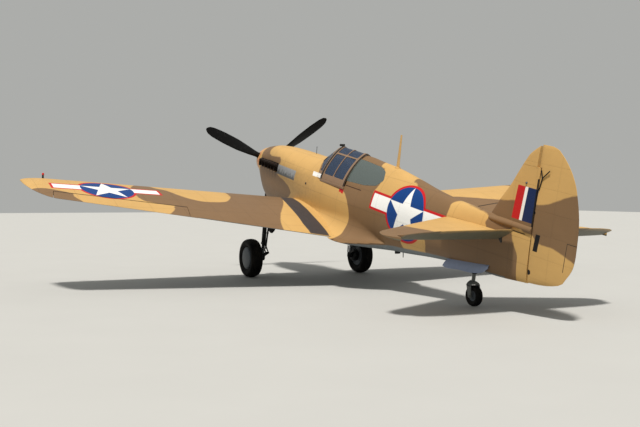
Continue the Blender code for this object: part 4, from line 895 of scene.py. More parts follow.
def surface(place, base, roughness, metallic=0.0, height=None, depth=0.002, **fixed):
    """Principled surface, with an optional height that feeds a Bump node."""
    inputs = {"Base Color": base, "Roughness": roughness, "Metallic": metallic}
    inputs.update({key.replace("_", " "): value for key, value in fixed.items()})
    if height is not None:
        bump = {"Strength": 1.0, "Distance": depth, "Height": height}
        inputs["Normal"] = place.node("ShaderNodeBump", {}, bump)
    shader = place.node("ShaderNodeBsdfPrincipled", {}, inputs)
    place.node("ShaderNodeOutputMaterial", {}, {"Surface": shader})


def roundel(u, v, radius):
    """White star on a blue disc between two white bars, all with a red border, at signed distances in metres.

    The star: with the angle folded into one of its ten halves, a point is inside where it lies below the
    straight line from the tip to the inner corner.
    """
    far = disc_distance(u, v, 0.0)
    part = 2 * math.pi / 5
    folded = abs(u.math("FLOORED_MODULO", u.math("ARCTAN2", u, v) + part / 2, part) - part / 2)
    corner = radius * 0.381966
    edge = (radius - corner * math.cos(part / 2), corner * math.sin(part / 2))
    length = math.hypot(*edge)
    star = (far * folded.math("SINE", folded) * edge[0]
            + (far * folded.math("COSINE", folded) - radius) * edge[1]) / length
    disc = far - radius
    bars = box_distance(u, v - radius * 0.07, 2 * radius, radius * 0.262)
    border = disc.smaller(bars) - ROUNDEL_BORDER
    return [(border.inside(), RED), (bars.inside(), WHITE), (disc.inside(), BLUE), (star.inside(), WHITE)]


def camouflage(name, marks=None, lines=None, under_paint=SKY_GREY, seam_depth=0.34, roughness=0.46):
    """Sand and brown over the underside's paint, with marks, panel lines, dirt and sheen.

    The areas come from the mesh's signed distances.
    """
    material, place, (x, y, z) = new_finish(name)
    fine, broad = noise(place, 9.0), noise(place, 1.3, 4.0)
    warp = (fine - 0.5) * 0.03
    brown = (attribute(place, "brown") + warp).inside(0.020)
    colour = mix(SAND, BROWN, brown)
    under = (-attribute(place, "under") + warp * 0.4).inside(0.02)
    colour = mix(colour, under_paint, under)
    for mask, paint in (marks(place, x, y, z, under) if marks else []):
        colour = mix(colour, paint, mask)
    cloudy = noise(place, 28.0, 2.0)
    tone = 0.965 + (broad - 0.5) * 0.20 + (cloudy - 0.5) * 0.05
    stretched = place.node("ShaderNodeCombineXYZ", {}, {"X": x * 6.0, "Y": y * 1.1, "Z": z * 6.0})
    streaks = noise(stretched, 2.0, 4.0)
    tone = tone + (streaks - 0.5) * 0.08
    height = (broad - 0.5) * 0.5
    if lines:
        seams, rivets = lines(place, x, y, z)
        tone = tone * (1.0 - seams * seam_depth) * (1.0 - rivets * seam_depth * 0.4)
        height = height - seams * 0.6 + rivets * 0.25
    colour = shade(colour, tone)
    gloss = roughness + (fine - 0.5) * 0.12 + (streaks - 0.5) * 0.10
    surface(place, colour, gloss, height=height, depth=0.0016, Specular_IOR_Level=0.20)
    return material


def seam_lines(along, across, spacing, offset, breadth, first):
    """Panel seams at even spacing across a length and at even breadth along it, with rivets beside each."""
    a, b = along.to_line(spacing, offset), across.to_line(breadth, first)
    seams = (a - 0.0022).inside(0.002).larger((b - 0.0022).inside(0.002))
    pitch, beside, radius = 0.034, 0.016, 0.0038
    dots_a = disc_distance(a - beside, across.to_line(pitch, 0.0), radius)
    dots_b = disc_distance(b - beside, along.to_line(pitch, 0.0), radius)
    return seams, dots_a.smaller(dots_b).inside(0.002)


def walk_layer(place):
    """Mask and colour of the gritty walkway."""
    grit = noise(place, 160.0, 2.0)
    mask = (attribute(place, "walk") + (grit - 0.5) * 0.006).inside(0.008)
    return mask, shade(WALK_GREY, 0.8 + grit * 0.5)


def body_marks(place, x, y, z, under):
    """Roundel on each flank, bare metal behind the exhausts that is darker below, soot, small marks by the
    cockpit, painted shade in the hood rail's groove and a painted shadow under the stern fairing.
    """
    centre_y, centre_z, radius = BODY_ROUNDEL
    u, v = y - centre_y, attribute(place, "girth") - centre_z
    tilt_c, tilt_s = math.cos(BODY_ROUNDEL_TILT), math.sin(BODY_ROUNDEL_TILT)
    layers = roundel(u * tilt_c + v * tilt_s, v * tilt_c - u * tilt_s, radius)
    patchy = noise(place, 14.0, 4.0)
    plate = box_distance(y - 2.270, z - 0.038, 0.465, 0.096)
    # The plate is a darker blue-grey below about z 0.02
    metal = mix(BARE_METAL, PLATE_LOWER_GREY, (z - 0.020 + (patchy - 0.5) * 0.20).inside(0.08))
    soot = ((y - 1.75) / -1.2).larger((y - 1.75) / 1.9).larger(abs(z - 0.02 + (y - 1.9) * 0.10) / 0.30)
    sooty = (soot - 0.55 + (patchy - 0.5) * 0.6).inside(1.1) * 0.55
    # Painted shade: a dark line for the hood rail's groove behind the hood
    groove = box_distance(y - 5.00, z - 0.200, 0.27, 0.008)
    tag = box_distance(y - 3.645 + (z - 0.20) * 0.5, z - 0.203, 0.215, 0.040).inside(0.004)
    rescue = box_distance(y - 4.655, z - 0.088 + (y - 4.655) * 0.2, 0.075, 0.034 - (patchy - 0.5) * 0.05)
    # Painted shadow: a dark line along the stern fairing's lower edge
    shadow_under_fairing = (abs(z - 0.309) - 0.007).larger(8.93 - y)
    layers += [(plate.inside(0.012), metal),
               (sooty, SOOT),
               (groove.inside(0.004), RAIL_GROOVE_SHADE),
               (tag * x.math("GREATER_THAN", x, 0.0), WHITE),
               (rescue.inside(0.01), RED),
               (shadow_under_fairing.inside(), FAIRING_PAINTED_SHADOW),
               walk_layer(place)]
    return layers


def body_lines(place, x, y, z):
    return seam_lines(y, attribute(place, "girth"), 0.625, 7.70, 0.34, -0.10)


def wing_marks(place, x, y, z, under):
    """Roundel above the left wing and below the right, and the walkway by the left wing's root."""
    centre_x, centre_y, radius = WING_ROUNDEL
    above = x.math("GREATER_THAN", x, 0.0) * (1.0 - under)
    below = x.math("LESS_THAN", x, 0.0) * under
    layers = [(mask * (above + below), paint) for mask,
              paint in roundel(abs(x) - centre_x, centre_y - y, radius)]
    mask, grey = walk_layer(place)
    return layers + [(mask * (1.0 - under), grey)]


def wing_lines_of(place, x, y, z):
    return seam_lines(x, y - abs(x) * 0.02, 0.58, 0.30, 0.47, 2.72)


def tail_lines(place, x, y, z):
    return seam_lines(z, y, 0.31, 0.06, 0.42, 8.86)


def plane_lines(place, x, y, z):
    return seam_lines(x, y, 0.37, 0.20, 0.35, 8.43)


def tail_marks(place, x, y, z, under):
    """Fin flash of red, white and blue, painted shade in the slot beside the rudder's hinge and in the gap
    along the hinge, and the trim tab's outline.
    """
    across = (y - FLASH_FRONT - (z - FLASH_LOW) * FLASH_SLANT) / FLASH_WIDTH
    tall = (FLASH_LOW - z).larger(z - FLASH_HIGH).inside()
    layers = [(across.between(low, high, 0.012) * tall, paint) for low, high, paint in FLASH_STRIPES]
    # Painted shade: black in the slot beside the rudder's hinge
    slot = box_distance(y - 9.455 - (z - 0.24) * 0.10, z - 0.240, 0.042, 0.118)
    tab = (9.985 - y + (z - 0.16) * 0.045).larger(z - 0.355)
    tab_edge = (abs(tab) - 0.005).larger(-0.030 - z)
    boss = disc_distance(y - RUDDER_HINGE, z + 0.183, 0.036)
    # Painted shade: a black strip in the gap along the rudder's hinge
    gap = box_distance(y - RUDDER_HINGE + 0.046, z - 0.72, 0.012, 0.37)
    bolt = disc_distance(y - 9.345, z - 0.634, 0.020)
    layers += [(slot.inside(0.005), BLACK), (tab_edge.inside(0.004), TAB_LINE)]
    layers += [(mark.inside(), BLACK) for mark in (boss, gap, bolt)]
    return layers


def plain_paint(name, colour, roughness=0.45, metallic=0.0, spread=0.25, wear=None, depth=0.0006, gloss=0.5):
    """Paint or metal of one colour with uneven tone and gloss, and optionally bare or dirty patches."""
    material, place, _ = new_finish(name)
    grain, broad = noise(place, 72.0), noise(place, 12.0, 4.0)
    tone = 1.0 + (broad - 0.5) * spread + (grain - 0.5) * spread * 0.4
    base = shade(colour, tone)
    if wear:
        base = mix(base, wear, (broad - 0.40 + (grain - 0.5) * 0.2).inside(0.06))
    surface(place, base, roughness + (grain - 0.5) * 0.15, metallic, height=broad + grain * 0.3, depth=depth,
            Specular_IOR_Level=gloss)
    return material


def rubber(name):
    """Tyre rubber: nearly black, with a little dust and fine grain."""
    material, place, _ = new_finish(name)
    grain, dust = noise(place, 90.0, 3.0), noise(place, 7.0, 4.0)
    base = mix((0.004, 0.004, 0.004, 1.0), (0.016, 0.014, 0.011, 1.0), (0.52 - dust).inside(0.25) * 0.8)
    surface(place, base, 0.70 + (grain - 0.5) * 0.2, height=grain, depth=0.0008, Specular_IOR_Level=0.10)
    return material


def glass(name, colour, alpha, roughness=0.04):
    """Clear glazing: a thin tinted pane that lets most of the light through."""
    material, place, _ = new_finish(name)
    smear = noise(place, 5.0, 4.0)
    surface(place, colour, roughness + (smear - 0.5) * 0.05, Alpha=alpha, IOR=1.45, Specular_IOR_Level=0.7)
    return material


def grille(name):
    """Radiator core: fine square cells, with painted shade, nearly black, in the cells between bright fins.
    """
    material, place, (x, _, z) = new_finish(name)
    cells = x.to_line(0.012, 0.0).smaller(z.to_line(0.012, 0.0))
    fins = (cells - 0.0016).inside(0.0012)
    # Painted shade: the cells between the fins are nearly black
    base = mix((0.02, 0.02, 0.02, 1.0), (0.30, 0.24, 0.16, 1.0), fins)
    surface(place, base, 0.45, 0.6, height=fins, depth=0.004)
    return material


def dials(name):
    """Instrument panel: black crackle paint with rows of round white-marked dials."""
    material, place, (x, _, z) = new_finish(name)
    pitch = 0.092
    far = disc_distance(x.to_line(pitch, 0.0), z.to_line(pitch, 0.12), 0.0)
    ring = (abs(far - 0.034) - 0.0025).inside(0.001)
    speckle = noise(place, 120.0)
    ticks = (abs(far - 0.027) - 0.002).inside(0.001) * speckle.math("GREATER_THAN", speckle, 0.5)
    face = (far - 0.031).inside(0.001)
    base = mix((0.022, 0.022, 0.022, 1.0), (0.004, 0.004, 0.004, 1.0), face)
    base = mix(base, (0.75, 0.75, 0.70, 1.0), ticks)
    base = mix(base, (0.10, 0.10, 0.10, 1.0), ring)
    surface(place, base, 0.55 - face * 0.4, height=ring - face * 0.6 + noise(place, 300.0) * 0.15,
            depth=0.002)
    return material


FINISHES = {}


def make_finishes():
    """Every finish of the object, by name."""
    paint = plain_paint
    FINISHES.update({
        "body": camouflage("body_camouflage", body_marks, body_lines),
        "wing": camouflage("wing_camouflage", wing_marks, wing_lines_of),
        "tail": camouflage("tail_camouflage", tail_marks, tail_lines, seam_depth=0.16),
        "plane": camouflage("tailplane_camouflage", None, plane_lines, TAIL_UNDER_PAINTED_SHADE, 0.20),
        "sand": paint("sand_paint", SAND, 0.42),
        "spinner": paint("spinner_sand", (0.56, 0.30, 0.12, 1.0), 0.38, wear=(0.30, 0.10, 0.06, 1.0)),
        "frame": paint("frame_brown", (0.215, 0.135, 0.080, 1.0), 0.45),
        "seal": paint("black_seal", (0.010, 0.010, 0.010, 1.0), 0.6),
        "under": paint("under_grey", SKY_GREY, 0.45),
        "blade": paint("blade_black", (0.004, 0.004, 0.004, 1.0), 0.50, wear=(0.008, 0.008, 0.008, 1.0),
                       gloss=0.15),
        "exhaust": paint("burnt_steel", (0.045, 0.035, 0.030, 1.0), 0.62, 0.7, wear=(0.09, 0.045, 0.03, 1.0)),
        "engine": paint("engine_metal", (0.05, 0.05, 0.055, 1.0), 0.5, 0.6),
        # Near-black gear paint is painted shade for the legs, which stand in shade; the same finish serves
        # the small dark fittings
        "gear": paint("gear_dark_painted_shade", (0.010, 0.011, 0.011, 1.0), 0.50, gloss=0.2),
        "chrome": paint("polished_steel", (0.55, 0.56, 0.58, 1.0), 0.16, 0.95, spread=0.05),
        "hub": paint("wheel_cover_grey", (0.072, 0.085, 0.098, 1.0), 0.45, gloss=0.3),
        "fork": paint("tail_fork_grey", (0.110, 0.115, 0.105, 1.0), 0.42, gloss=0.4),
        "rubber": rubber("tyre_rubber"),
        "door": paint("door_blue_grey", (0.235, 0.285, 0.420, 1.0), 0.40),
        "white": paint("white_enamel", WHITE, 0.40, spread=0.08),
        "zinc": paint("inside_green", (0.085, 0.105, 0.030, 1.0), 0.55, wear=(0.11, 0.12, 0.05, 1.0)),
        "clear": glass("clear_glazing", (0.025, 0.048, 0.100, 1.0), 0.60),
        "tinted": glass("rear_glazing", (0.100, 0.125, 0.120, 1.0), 0.80, 0.10),
        "core": grille("radiator_core"),
        "panel": dials("instrument_dials"),
        "leather": paint("worn_leather", (0.050, 0.022, 0.012, 1.0), 0.5, wear=(0.09, 0.045, 0.025, 1.0),
                         depth=0.002),
        "grip": paint("stick_rubber", (0.012, 0.012, 0.012, 1.0), 0.6, depth=0.002),
        "red_glass": glass("red_lamp", (0.60, 0.02, 0.02, 1.0), 0.9, 0.08),
        "white_glass": glass("clear_lamp", (0.80, 0.80, 0.78, 1.0), 0.75, 0.08),
        "gun": paint("gun_steel", (0.030, 0.031, 0.034, 1.0), 0.38, 0.8),
        "red": paint("red_paint", RED, 0.45),
    })


def add_piece(name, mesh, finish, nodes=(), body="root", fields=None, crease=32.0):
    """Finished piece: signed distances, then onto the ground, its finish and shading, and its body."""
    if fields:
        for field, values in fields(places(mesh)).items():
            mesh.attributes.new(field, "FLOAT", "POINT").data.foreach_set("value", values.astype(np.float32))
    mesh.name = name
    mesh.materials.clear()
    mesh.materials.append(FINISHES[finish])
    mesh.polygons.foreach_set("material_index", np.zeros(len(mesh.polygons), np.int32))
    mesh.transform(AIRFRAME)
    mesh.shade_smooth()
    mesh.set_sharp_from_angle(angle=math.radians(crease))
    obj = bpy.data.objects.new(name, mesh)
    bpy.context.scene.collection.objects.link(obj)
    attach(obj, body)
    if nodes:
        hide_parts(*nodes)
    return obj


def side_fields(points):
    """Body, fin and rudder: brown areas from the side, the line of the undersides, girth and walkway."""
    y, z = points[:, 1], points[:, 2]
    above_bottom = np.interp(y, *UNDER_LINE.T)
    under = np.where(y > 8.9, -1.0, smooth(BODY_STATIONS, 2, y) + above_bottom - z)
    walk = np.maximum(walkway(points), 2.90 - y)
    return {"brown": brown_side(points), "under": under, "girth": girth(points), "walk": walk}


def wing_fields(points):
    """Wings and ailerons: brown areas from above, underside below the chord plane, and the walkway."""
    plane = wing_plane(np.abs(points[:, 0]), points[:, 1])
    return {"brown": brown_plan(points), "under": plane - points[:, 2] - 0.004, "walk": walkway(points)}


def aileron_fields(points):
    return wing_fields(points) | {"brown": brown_aileron(points)}


def plane_fields(points):
    """Tailplane and elevators: brown areas from above, and the underside below their middle."""
    return {"brown": brown_tail(points), "under": ELEVATOR_HEIGHT - points[:, 2] - 0.004}


# The pieces

def wing_room(side):
    """Everything under the wing's upper surface near the root, taken out of the body."""
    spans = np.concatenate([[-0.01], np.linspace(GAP, 1.6, 12)])
    y, upper, _ = wing_lines(np.maximum(spans, GAP), GAP)
    rings = []
    for x, ys, zs in zip(spans, y, upper):
        top = np.column_stack([np.full(len(ys), side * x), ys[::-1], zs[::-1]])
        rings.append(np.concatenate([top, [(side * x, ys[0], -2.0), (side * x, ys[-1], -2.0)]]))
    return skin(rings)


QUARTER_WINDOW = [(4.655, 0.270), (5.300, 0.295), (5.640, 0.345), (5.775, 0.460), (5.660, 0.592),
                  (5.440, 0.645), (4.655, 0.700)]


def quarter_outline(grow=0.0):
    """Side view of the window behind the hood, with rounded aft corners."""
    points = np.array(QUARTER_WINDOW)
    middle = points.mean(0)
    return rounded(points + np.sign(points - middle) * grow, 0.045)


def stern_fairing():
    """Round fairing along the top of the stern: ellipses that swell quickly, then narrow slowly aft."""
    ys = np.linspace(STERN_FAIRING[0, 0], STERN_FAIRING[-1, 0], 24)[:, None]
    turn = full_turn(40)[None, :]
    wide, tall = smooth(STERN_FAIRING, 1, ys), smooth(STERN_FAIRING, 2, ys)
    return skin(np.stack([wide * np.cos(turn), ys + 0 * turn, FAIRING_HEIGHT + tall * np.sin(turn)], axis=-1))


def build_body():
    """Body aft of the firewall, hollow at the cockpit."""
    half, wide, high = 0.375, 0.600, 1.200
    left_side = [(half, COCKPIT_FLOOR), (half, SILL), (wide, SILL), (wide, high)]
    well = left_side + [(-x, z) for x, z in left_side[::-1]]
    cutters = [wing_room(1), wing_room(-1),
               skin([plane_section(x, GAP) for x in np.linspace(-0.6, 0.6, 5)]),
               prism(well, COCKPIT_FRONT, DECK_FRONT, "y"),
               block((-0.30, 2.95, COCKPIT_FLOOR), (0.30, COCKPIT_FRONT + 0.05, 0.25)),
               prism(quarter_outline(), 0.115, 0.7, "x"),
               prism(quarter_outline(), -0.7, -0.115, "x"),
               block((-0.070, 7.700, -0.70), (0.070, 8.450, -0.240)),
               rudder_skin(RUNNING)]
    body = carve(body_between(FIREWALL + GAP, STERN, 170), *cutters)
    add_piece("body_skin", body, "body", ["fuselage"], fields=side_fields, crease=35)
    fairing = carve(stern_fairing(), rudder_skin(RUNNING))
    add_piece("tail_fairing", fairing, "body", fields=side_fields)
    rails = [block((side * 0.400, HOOD_FRONT, 0.118), (side * 0.450, DECK_FRONT, SILL + 0.004), 0.004)
             for side, _ in SIDES]
    add_piece("hood_rails", join(*rails), "frame")
    inside = [block((-0.374, COCKPIT_FRONT, COCKPIT_FLOOR), (0.374, DECK_FRONT, COCKPIT_FLOOR + 0.006))]
    for side, _ in SIDES:
        inside += [block((side * 0.3745, COCKPIT_FRONT + 0.01, COCKPIT_FLOOR),
                         (side * 0.369, DECK_FRONT - 0.02, 0.10)),
                   block((side * 0.369, 3.70, -0.10), (side * 0.310, 4.40, -0.06), 0.006),
                   tube([(side * 0.352, 3.66, 0.02), (side * 0.352, 4.66, 0.04)], 0.009)]
    add_piece("cockpit_lining", join(*inside), "zinc")


def intake_room():
    """Mouth of the chin intake: rounded-square rings that grow from the front to the radiators."""
    turn = full_turn(64)
    c, s = np.cos(turn), np.sin(turn)
    across, up = np.sign(s) * np.abs(s) ** 0.8, np.sign(c) * np.abs(c) ** 0.8
    rings = []
    for y in np.linspace(INTAKE_STATIONS[0, 0], INTAKE_BACK, 12):
        half, tall, height = (np.interp(y, INTAKE_STATIONS[:, 0], INTAKE_STATIONS[:, k]) for k in (1, 2, 3))
        rings.append(np.column_stack([half * across, np.full(64, y), height + tall * up]))
    return skin(rings)


def build_cowling():
    """Engine cowling with its chin intake, exhaust recesses and cooling flaps."""
    cutters = [tube([(0, 1.0, 0.01), (0, FIREWALL + 0.1, 0.01)], 0.345, 48),
               tube([(0, 0.4, 0), (0, 1.1, 0)], 0.075, 32),
               intake_room()]
    recess = rounded([(0.860, -0.045), (1.850, -0.045), (1.850, 0.150), (0.860, 0.150)], 0.02)
    cutters += [prism(recess, *both(0.385, 0.6, side), "x") for side, _ in SIDES]
    cowl = carve(body_between(COWL_FRONT, FIREWALL, 84), *cutters)
    add_piece("cowling_skin", cowl, "body", ["cowling"], fields=side_fields, crease=35)
    vanes = [block((side * 0.085, 0.86, -0.66), (side * 0.093, 1.29, -0.40)) for side, _ in SIDES]
    add_piece("intake_vanes", join(*vanes), "zinc")
    flaps = []
    for k in range(COOLING_FLAPS):
        middle = math.pi + (k - (COOLING_FLAPS - 1) / 2) * COOLING_FLAP_PITCH
        turns = middle + np.linspace(-0.46, 0.46, 9) * COOLING_FLAP_PITCH
        flaps.append(skin([flap_ring(turns, FIREWALL - ahead, out) for ahead, out in COOLING_FLAP_LIFT]))
    add_piece("cooling_flaps", join(*flaps), "body", fields=side_fields)


def flap_ring(turns, y, out):
    """Section of one cooling flap: the body's ring between two turns, pushed out, over a foot inside."""
    ring = body_section([y], 720)[0]
    outer = np.column_stack([np.interp(turns, full_turn(720), ring[:, k]) for k in range(3)])
    away = outer - np.array([0, y, -0.2])
    away /= np.linalg.norm(away, axis=1)[:, None]
    return np.concatenate([outer + away * out, (outer - away * 0.030)[::-1]])


# Section of one exhaust stub on its way out: distance from the middle, how far it has bent aft, half-length
STUB_STATIONS = ((0.392, 0.000, 0.044), (0.430, 0.008, 0.046), (0.468, 0.030, 0.044), (0.502, 0.070, 0.042),
                 (0.498, 0.066, 0.037), (0.468, 0.030, 0.036), (0.440, 0.010, 0.036))
STUBS, FIRST_STUB, STUB_PITCH = 6, 0.940, 0.157


def build_exhausts():
    """Flattened, open stubs on each side in a dark recess."""
    turn = full_turn(24)
    c, s = np.cos(turn), np.sin(turn)
    for side, word in SIDES:
        stubs = [block((side * 0.388, 0.875, -0.035), (side * 0.398, 1.835, 0.140), 0.003)]
        for k in range(STUBS):
            y = FIRST_STUB + STUB_PITCH * k
            stubs.append(skin([np.column_stack([side * (reach + 0.012 * c), y + bent + half * c,
                                                0.052 + 1.75 * half * s]) for reach, bent,
                               half in STUB_STATIONS]))
        add_piece(f"exhaust_stubs_{word}", join(*stubs), "exhaust", [f"exhaust_{word}"])


# Blade by share of its length: chord, thickness, twist in degrees
BLADE_CHORD = np.array([(0.0, 0.120), (0.10, 0.135), (0.22, 0.215), (0.45, 0.280), (0.70, 0.262),
                        (0.88, 0.215), (0.96, 0.155), (1.0, 0.040)])
BLADE_THICKNESS = np.array([(0.0, 0.120), (0.10, 0.105), (0.22, 0.062), (0.45, 0.036), (0.70, 0.024),
                            (1.0, 0.010)])
BLADE_TWIST = np.array([(0.0, 52.0), (0.3, 38.0), (1.0, 14.0)])
BLADE_FOOT = 0.20


def blade_section(radius, points=40):
    """Ring of a blade at a radius: a lens-like section, twisted about the blade."""
    share = (radius - BLADE_FOOT) / (PROPELLER_RADIUS - BLADE_FOOT)
    chord, thick, twist = (float(np.interp(share, *table.T)) for table in (BLADE_CHORD, BLADE_THICKNESS,
                                                                           BLADE_TWIST))
    twist = math.radians(twist)
    turn = full_turn(points)
    across, through = chord / 2 * np.cos(turn), thick / 2 * np.sin(turn)
    x = across * math.cos(twist) - through * math.sin(twist)
    y = PROPELLER_PLANE + across * math.sin(twist) + through * math.cos(twist)
    return np.column_stack([x, y, np.full(points, radius)])


def smooth_blade():
    """Rings of one blade with softened chord changes."""
    radii = np.concatenate([np.linspace(0.15, 1.50, 46), 1.50 + (PROPELLER_RADIUS - 1.50) * np.sin(
        np.linspace(0.08, np.pi / 2, 16))])
    rings = np.array([blade_section(radius) for radius in radii])
    for _ in range(3):
        rings[1:-1, :, :2] = (rings[:-2, :, :2] + 2 * rings[1:-1, :, :2] + rings[2:, :, :2]) / 4
    return rings


BLADE_ROOT = [(0.0, 0.10), (0.070, 0.10), (0.070, 0.30), (0.0, 0.30)]
SPINNER_PLATE = [(0.0, 0.586), (0.327, 0.586), (0.330, 0.580), (0.330, 0.562), (0.326, 0.558), (0.0, 0.558)]


def build_propeller():
    """Spinner and three blades."""
    ogive = [(SPINNER_RADIUS * (1 - (1 - t) ** 1.9) ** 0.75, SPINNER_LENGTH * t) for t in np.linspace(0, 1,
                                                                                                      40)]
    profile = ogive + [(SPINNER_RADIUS - 0.004, SPINNER_LENGTH), (0.0, SPINNER_LENGTH)]
    spinner = turned(profile, (0, 0, 0), (0, 1, 0), 96)
    hub = (0, PROPELLER_PLANE, 0)
    sockets = []
    for k in range(3):
        spin = Matrix.Rotation(PROPELLER_ANGLE - k * 2 * math.pi / 3, 4, "Y")
        sockets.append(moved(tube([(0, PROPELLER_PLANE, 0.14), (0, PROPELLER_PLANE, 0.5)], 0.078, 40), spin))
        blade = moved(skin(smooth_blade()), spin)
        add_piece(f"propeller_blade_{k + 1}", blade, "blade", [f"blade_{k + 1}"],
                  "propeller")
        root = moved(turned(BLADE_ROOT, hub, (0, 0, 1), 32), spin)
        add_piece(f"blade_root_{k + 1}", root, "gear", body="propeller")
    add_piece("spinner_shell", carve(spinner, *sockets), "spinner", ["spinner"], "propeller")
    plate = turned(SPINNER_PLATE, (0, 0, 0), (0, 1, 0), 96)
    add_piece("spinner_ring", plate, "red", body="propeller")


def tyre_profile(radius, width, bore, grooves):
    """Closed section of a tyre: a rounded tread and sidewall, with square grooves round the tread."""
    half, side = width / 2, (radius - bore) / 2
    turn = np.linspace(np.pi / 2, -np.pi / 2, 61)
    h = half * np.sin(turn)
    r = bore + side + side * np.cos(turn) ** 0.6
    for place in grooves:
        r = r - 0.006 * (abs(h - place * half) < 0.0045)
    r = r + 0.002 * (abs(np.abs(h) - half * 0.90) < half * 0.04)
    outer = np.column_stack([r, h])
    return np.concatenate([outer, [(bore, -half * 0.62), (bore, half * 0.62)]])


RIM = HUB_RADIUS - 0.001
HUB_PROFILE = [(0.0, 0.1215), (0.060, 0.1205), (0.120, 0.1165), (0.170, 0.1095), (0.194, 0.1045),
               (0.203, 0.1010), (0.207, 0.0970), (0.2085, 0.0930), (RIM, 0.0930), (RIM, -0.086),
               (0.206, -0.088), (0.196, -0.074), (0.160, -0.052), (0.062, -0.050), (0.062, -0.046),
               (0.0, -0.046)]
SCREW_PROFILE = [(0.0, 0.1085), (0.005, 0.1080), (0.006, 0.103), (0.0, 0.103)]
SCREWS, SCREW_CIRCLE = 6, 0.190
TREAD_GROOVES = (-0.46, -0.16, 0.16, 0.46)


def build_main_wheels():
    """Tyres with grooves, smooth cover discs and their screws, and the legs."""
    for side, word in SIDES:
        centre = np.array([side * HALF_TRACK, WHEEL_Y, WHEEL_Z])
        out = (side, 0, 0)
        body = f"wheel_{word}"
        tyre = turned(tyre_profile(TYRE_RADIUS, TYRE_WIDTH, HUB_RADIUS, TREAD_GROOVES), centre, out, 128,
                      closed=True)
        add_piece(f"main_tyre_{word}", tyre, "rubber", [f"tyre_{word}"], body)
        add_piece(f"main_hub_{word}", turned(HUB_PROFILE, centre, out, 96), "hub",
                  [f"hub_{word}"], body)
        screws = [turned(SCREW_PROFILE, centre + SCREW_CIRCLE * np.array([0, math.cos(a), math.sin(a)]), out,
                         12)
                  for a in full_turn(SCREWS)]
        add_piece(f"hub_screws_{word}", join(*screws), "gear", body=body)
        build_leg(side, word)


# Turned parts of a main leg, as radius and distance from the end they start at
CYLINDER_PROFILE = [(0.0, 0.0), (0.042, 0.0), (0.043, 0.01), (0.043, 0.36), (0.052, 0.365), (0.052, 0.395),
                    (0.044, 0.402), (0.0, 0.402)]
KNUCKLE_PROFILE = [(0.0, -0.02), (0.046, -0.02), (0.052, 0.0), (0.052, 0.06), (0.044, 0.085), (0.0, 0.085)]
AXLE_PROFILE = [(0.0, 0.0), (0.028, 0.0), (0.029, 0.005), (0.029, 0.19), (0.0, 0.19)]
BRAKE_PROFILE = [(0.0, 0.0), (0.055, 0.0), (0.110, 0.020), (0.125, 0.040), (0.125, 0.110), (0.0, 0.110)]
LINK_HINGE = (WHEEL_Y + 0.200, -1.490)
LINK_HALF = 0.034


def build_leg(side, word):
    """One main leg from its cylinder to the axle, with torque link, drag strut, piston and brake hose."""
    x = side * LEG_X
    down, out = (0, 0, -1), (side, 0, 0)
    parts = [turned(profile, place, axis, sides) for profile, place, axis, sides in (
        (CYLINDER_PROFILE, (x, WHEEL_Y, -0.962), down, 48),
        (KNUCKLE_PROFILE, (x, WHEEL_Y, -1.60), down, 40),
        (AXLE_PROFILE, (x - side * 0.02, WHEEL_Y, WHEEL_Z), out, 40),
        (BRAKE_PROFILE, (x + side * 0.04, WHEEL_Y, WHEEL_Z), out, 48))]
    back, height = LINK_HINGE
    for z, lift in ((-1.365, 0.030), (-1.580, -0.030)):
        web = rounded([(WHEEL_Y + 0.030, z - lift), (WHEEL_Y + 0.030, z + lift), (back, height + lift * 0.7),
                       (back + 0.014, height - lift * 0.3)], 0.008)
        for middle in (x - LINK_HALF * 0.8, x + LINK_HALF * 0.8):
            parts.append(prism(web, middle - 0.006, middle + 0.006, "x"))
        parts.append(tube([(x - 0.045, WHEEL_Y + 0.035, z), (x + 0.045, WHEEL_Y + 0.035, z)], 0.016, 16))
    parts.append(tube([(x - LINK_HALF - 0.006, back, height), (x + LINK_HALF + 0.006, back, height)], 0.020,
                      16))
    strut_top = np.array([x, WHEEL_Y + 0.205, LEG_WELL_ROOF - 0.004])
    strut_foot = np.array([x, WHEEL_Y + 0.125, -1.425])
    parts.append(tube([strut_foot, strut_top], 0.016, 20))
    parts.append(tube([strut_foot + (strut_top - strut_foot) * t for t in (0.42, 0.46)], 0.021, 20))
    add_piece(f"leg_{word}", join(*parts), "gear", [f"main_leg_{word}"])
    piston = tube([(x, WHEEL_Y, -1.355), (x, WHEEL_Y, -1.600)], 0.035, 40)
    add_piece(f"oleo_piston_{word}", piston, "chrome")
    t = np.linspace(0, 1, 30)
    hose = np.column_stack([np.full(30, x - side * 0.040), WHEEL_Y - 0.030 - 0.012 * np.sin(t * np.pi),
                            -1.02 - 0.56 * t])
    add_piece(f"brake_hose_{word}", tube(hose, 0.006, 12), "seal")


# Lower edge of a tail-wheel door: y, x and z
DOOR_EDGE = np.array([(7.600, 0.184, -0.546), (7.640, 0.190, -0.550), (8.000, 0.176, -0.508),
                      (8.380, 0.150, -0.458), (8.500, 0.126, -0.418), (8.575, 0.090, -0.345)])


STRUT_TOP = -0.3003
STRUT_PROFILE = [(0.0, 0.0), (0.030, 0.0), (0.028, 0.01), (0.028, STRUT_TOP - FORK_CROWN),
                 (0.0, STRUT_TOP - FORK_CROWN)]
NUT_PROFILE = [(0.0, 0.0), (0.020, 0.0), (0.020, 0.010), (0.012, 0.014), (0.0, 0.014)]
TAIL_HUB_HALF = [(0.0148, 0.050), (0.030, 0.050), (0.034, 0.038), (0.060, 0.026), (0.074, 0.034),
                 (0.079, 0.034)]
# Fork's shoulder from the middle outwards: x, depth below the crown
FORK_SHOULDER = [(0.028, 0.001), (0.036, 0.008), (0.070, 0.030), (FORK_HALF, 0.058), (FORK_HALF, 0.075),
                 (0.062, 0.044)]


def boot_profile():
    """Rubber boot round the tail leg: a funnel with folds."""
    folds = [(0.094 - 0.058 * t ** 1.5 + 0.003 * math.cos(9 * math.pi * t), 0.385 + 0.145 * t)
             for t in np.linspace(0, 1, 46)]
    return [(0.0, 0.350)] + folds + [(0.0, 0.530)]


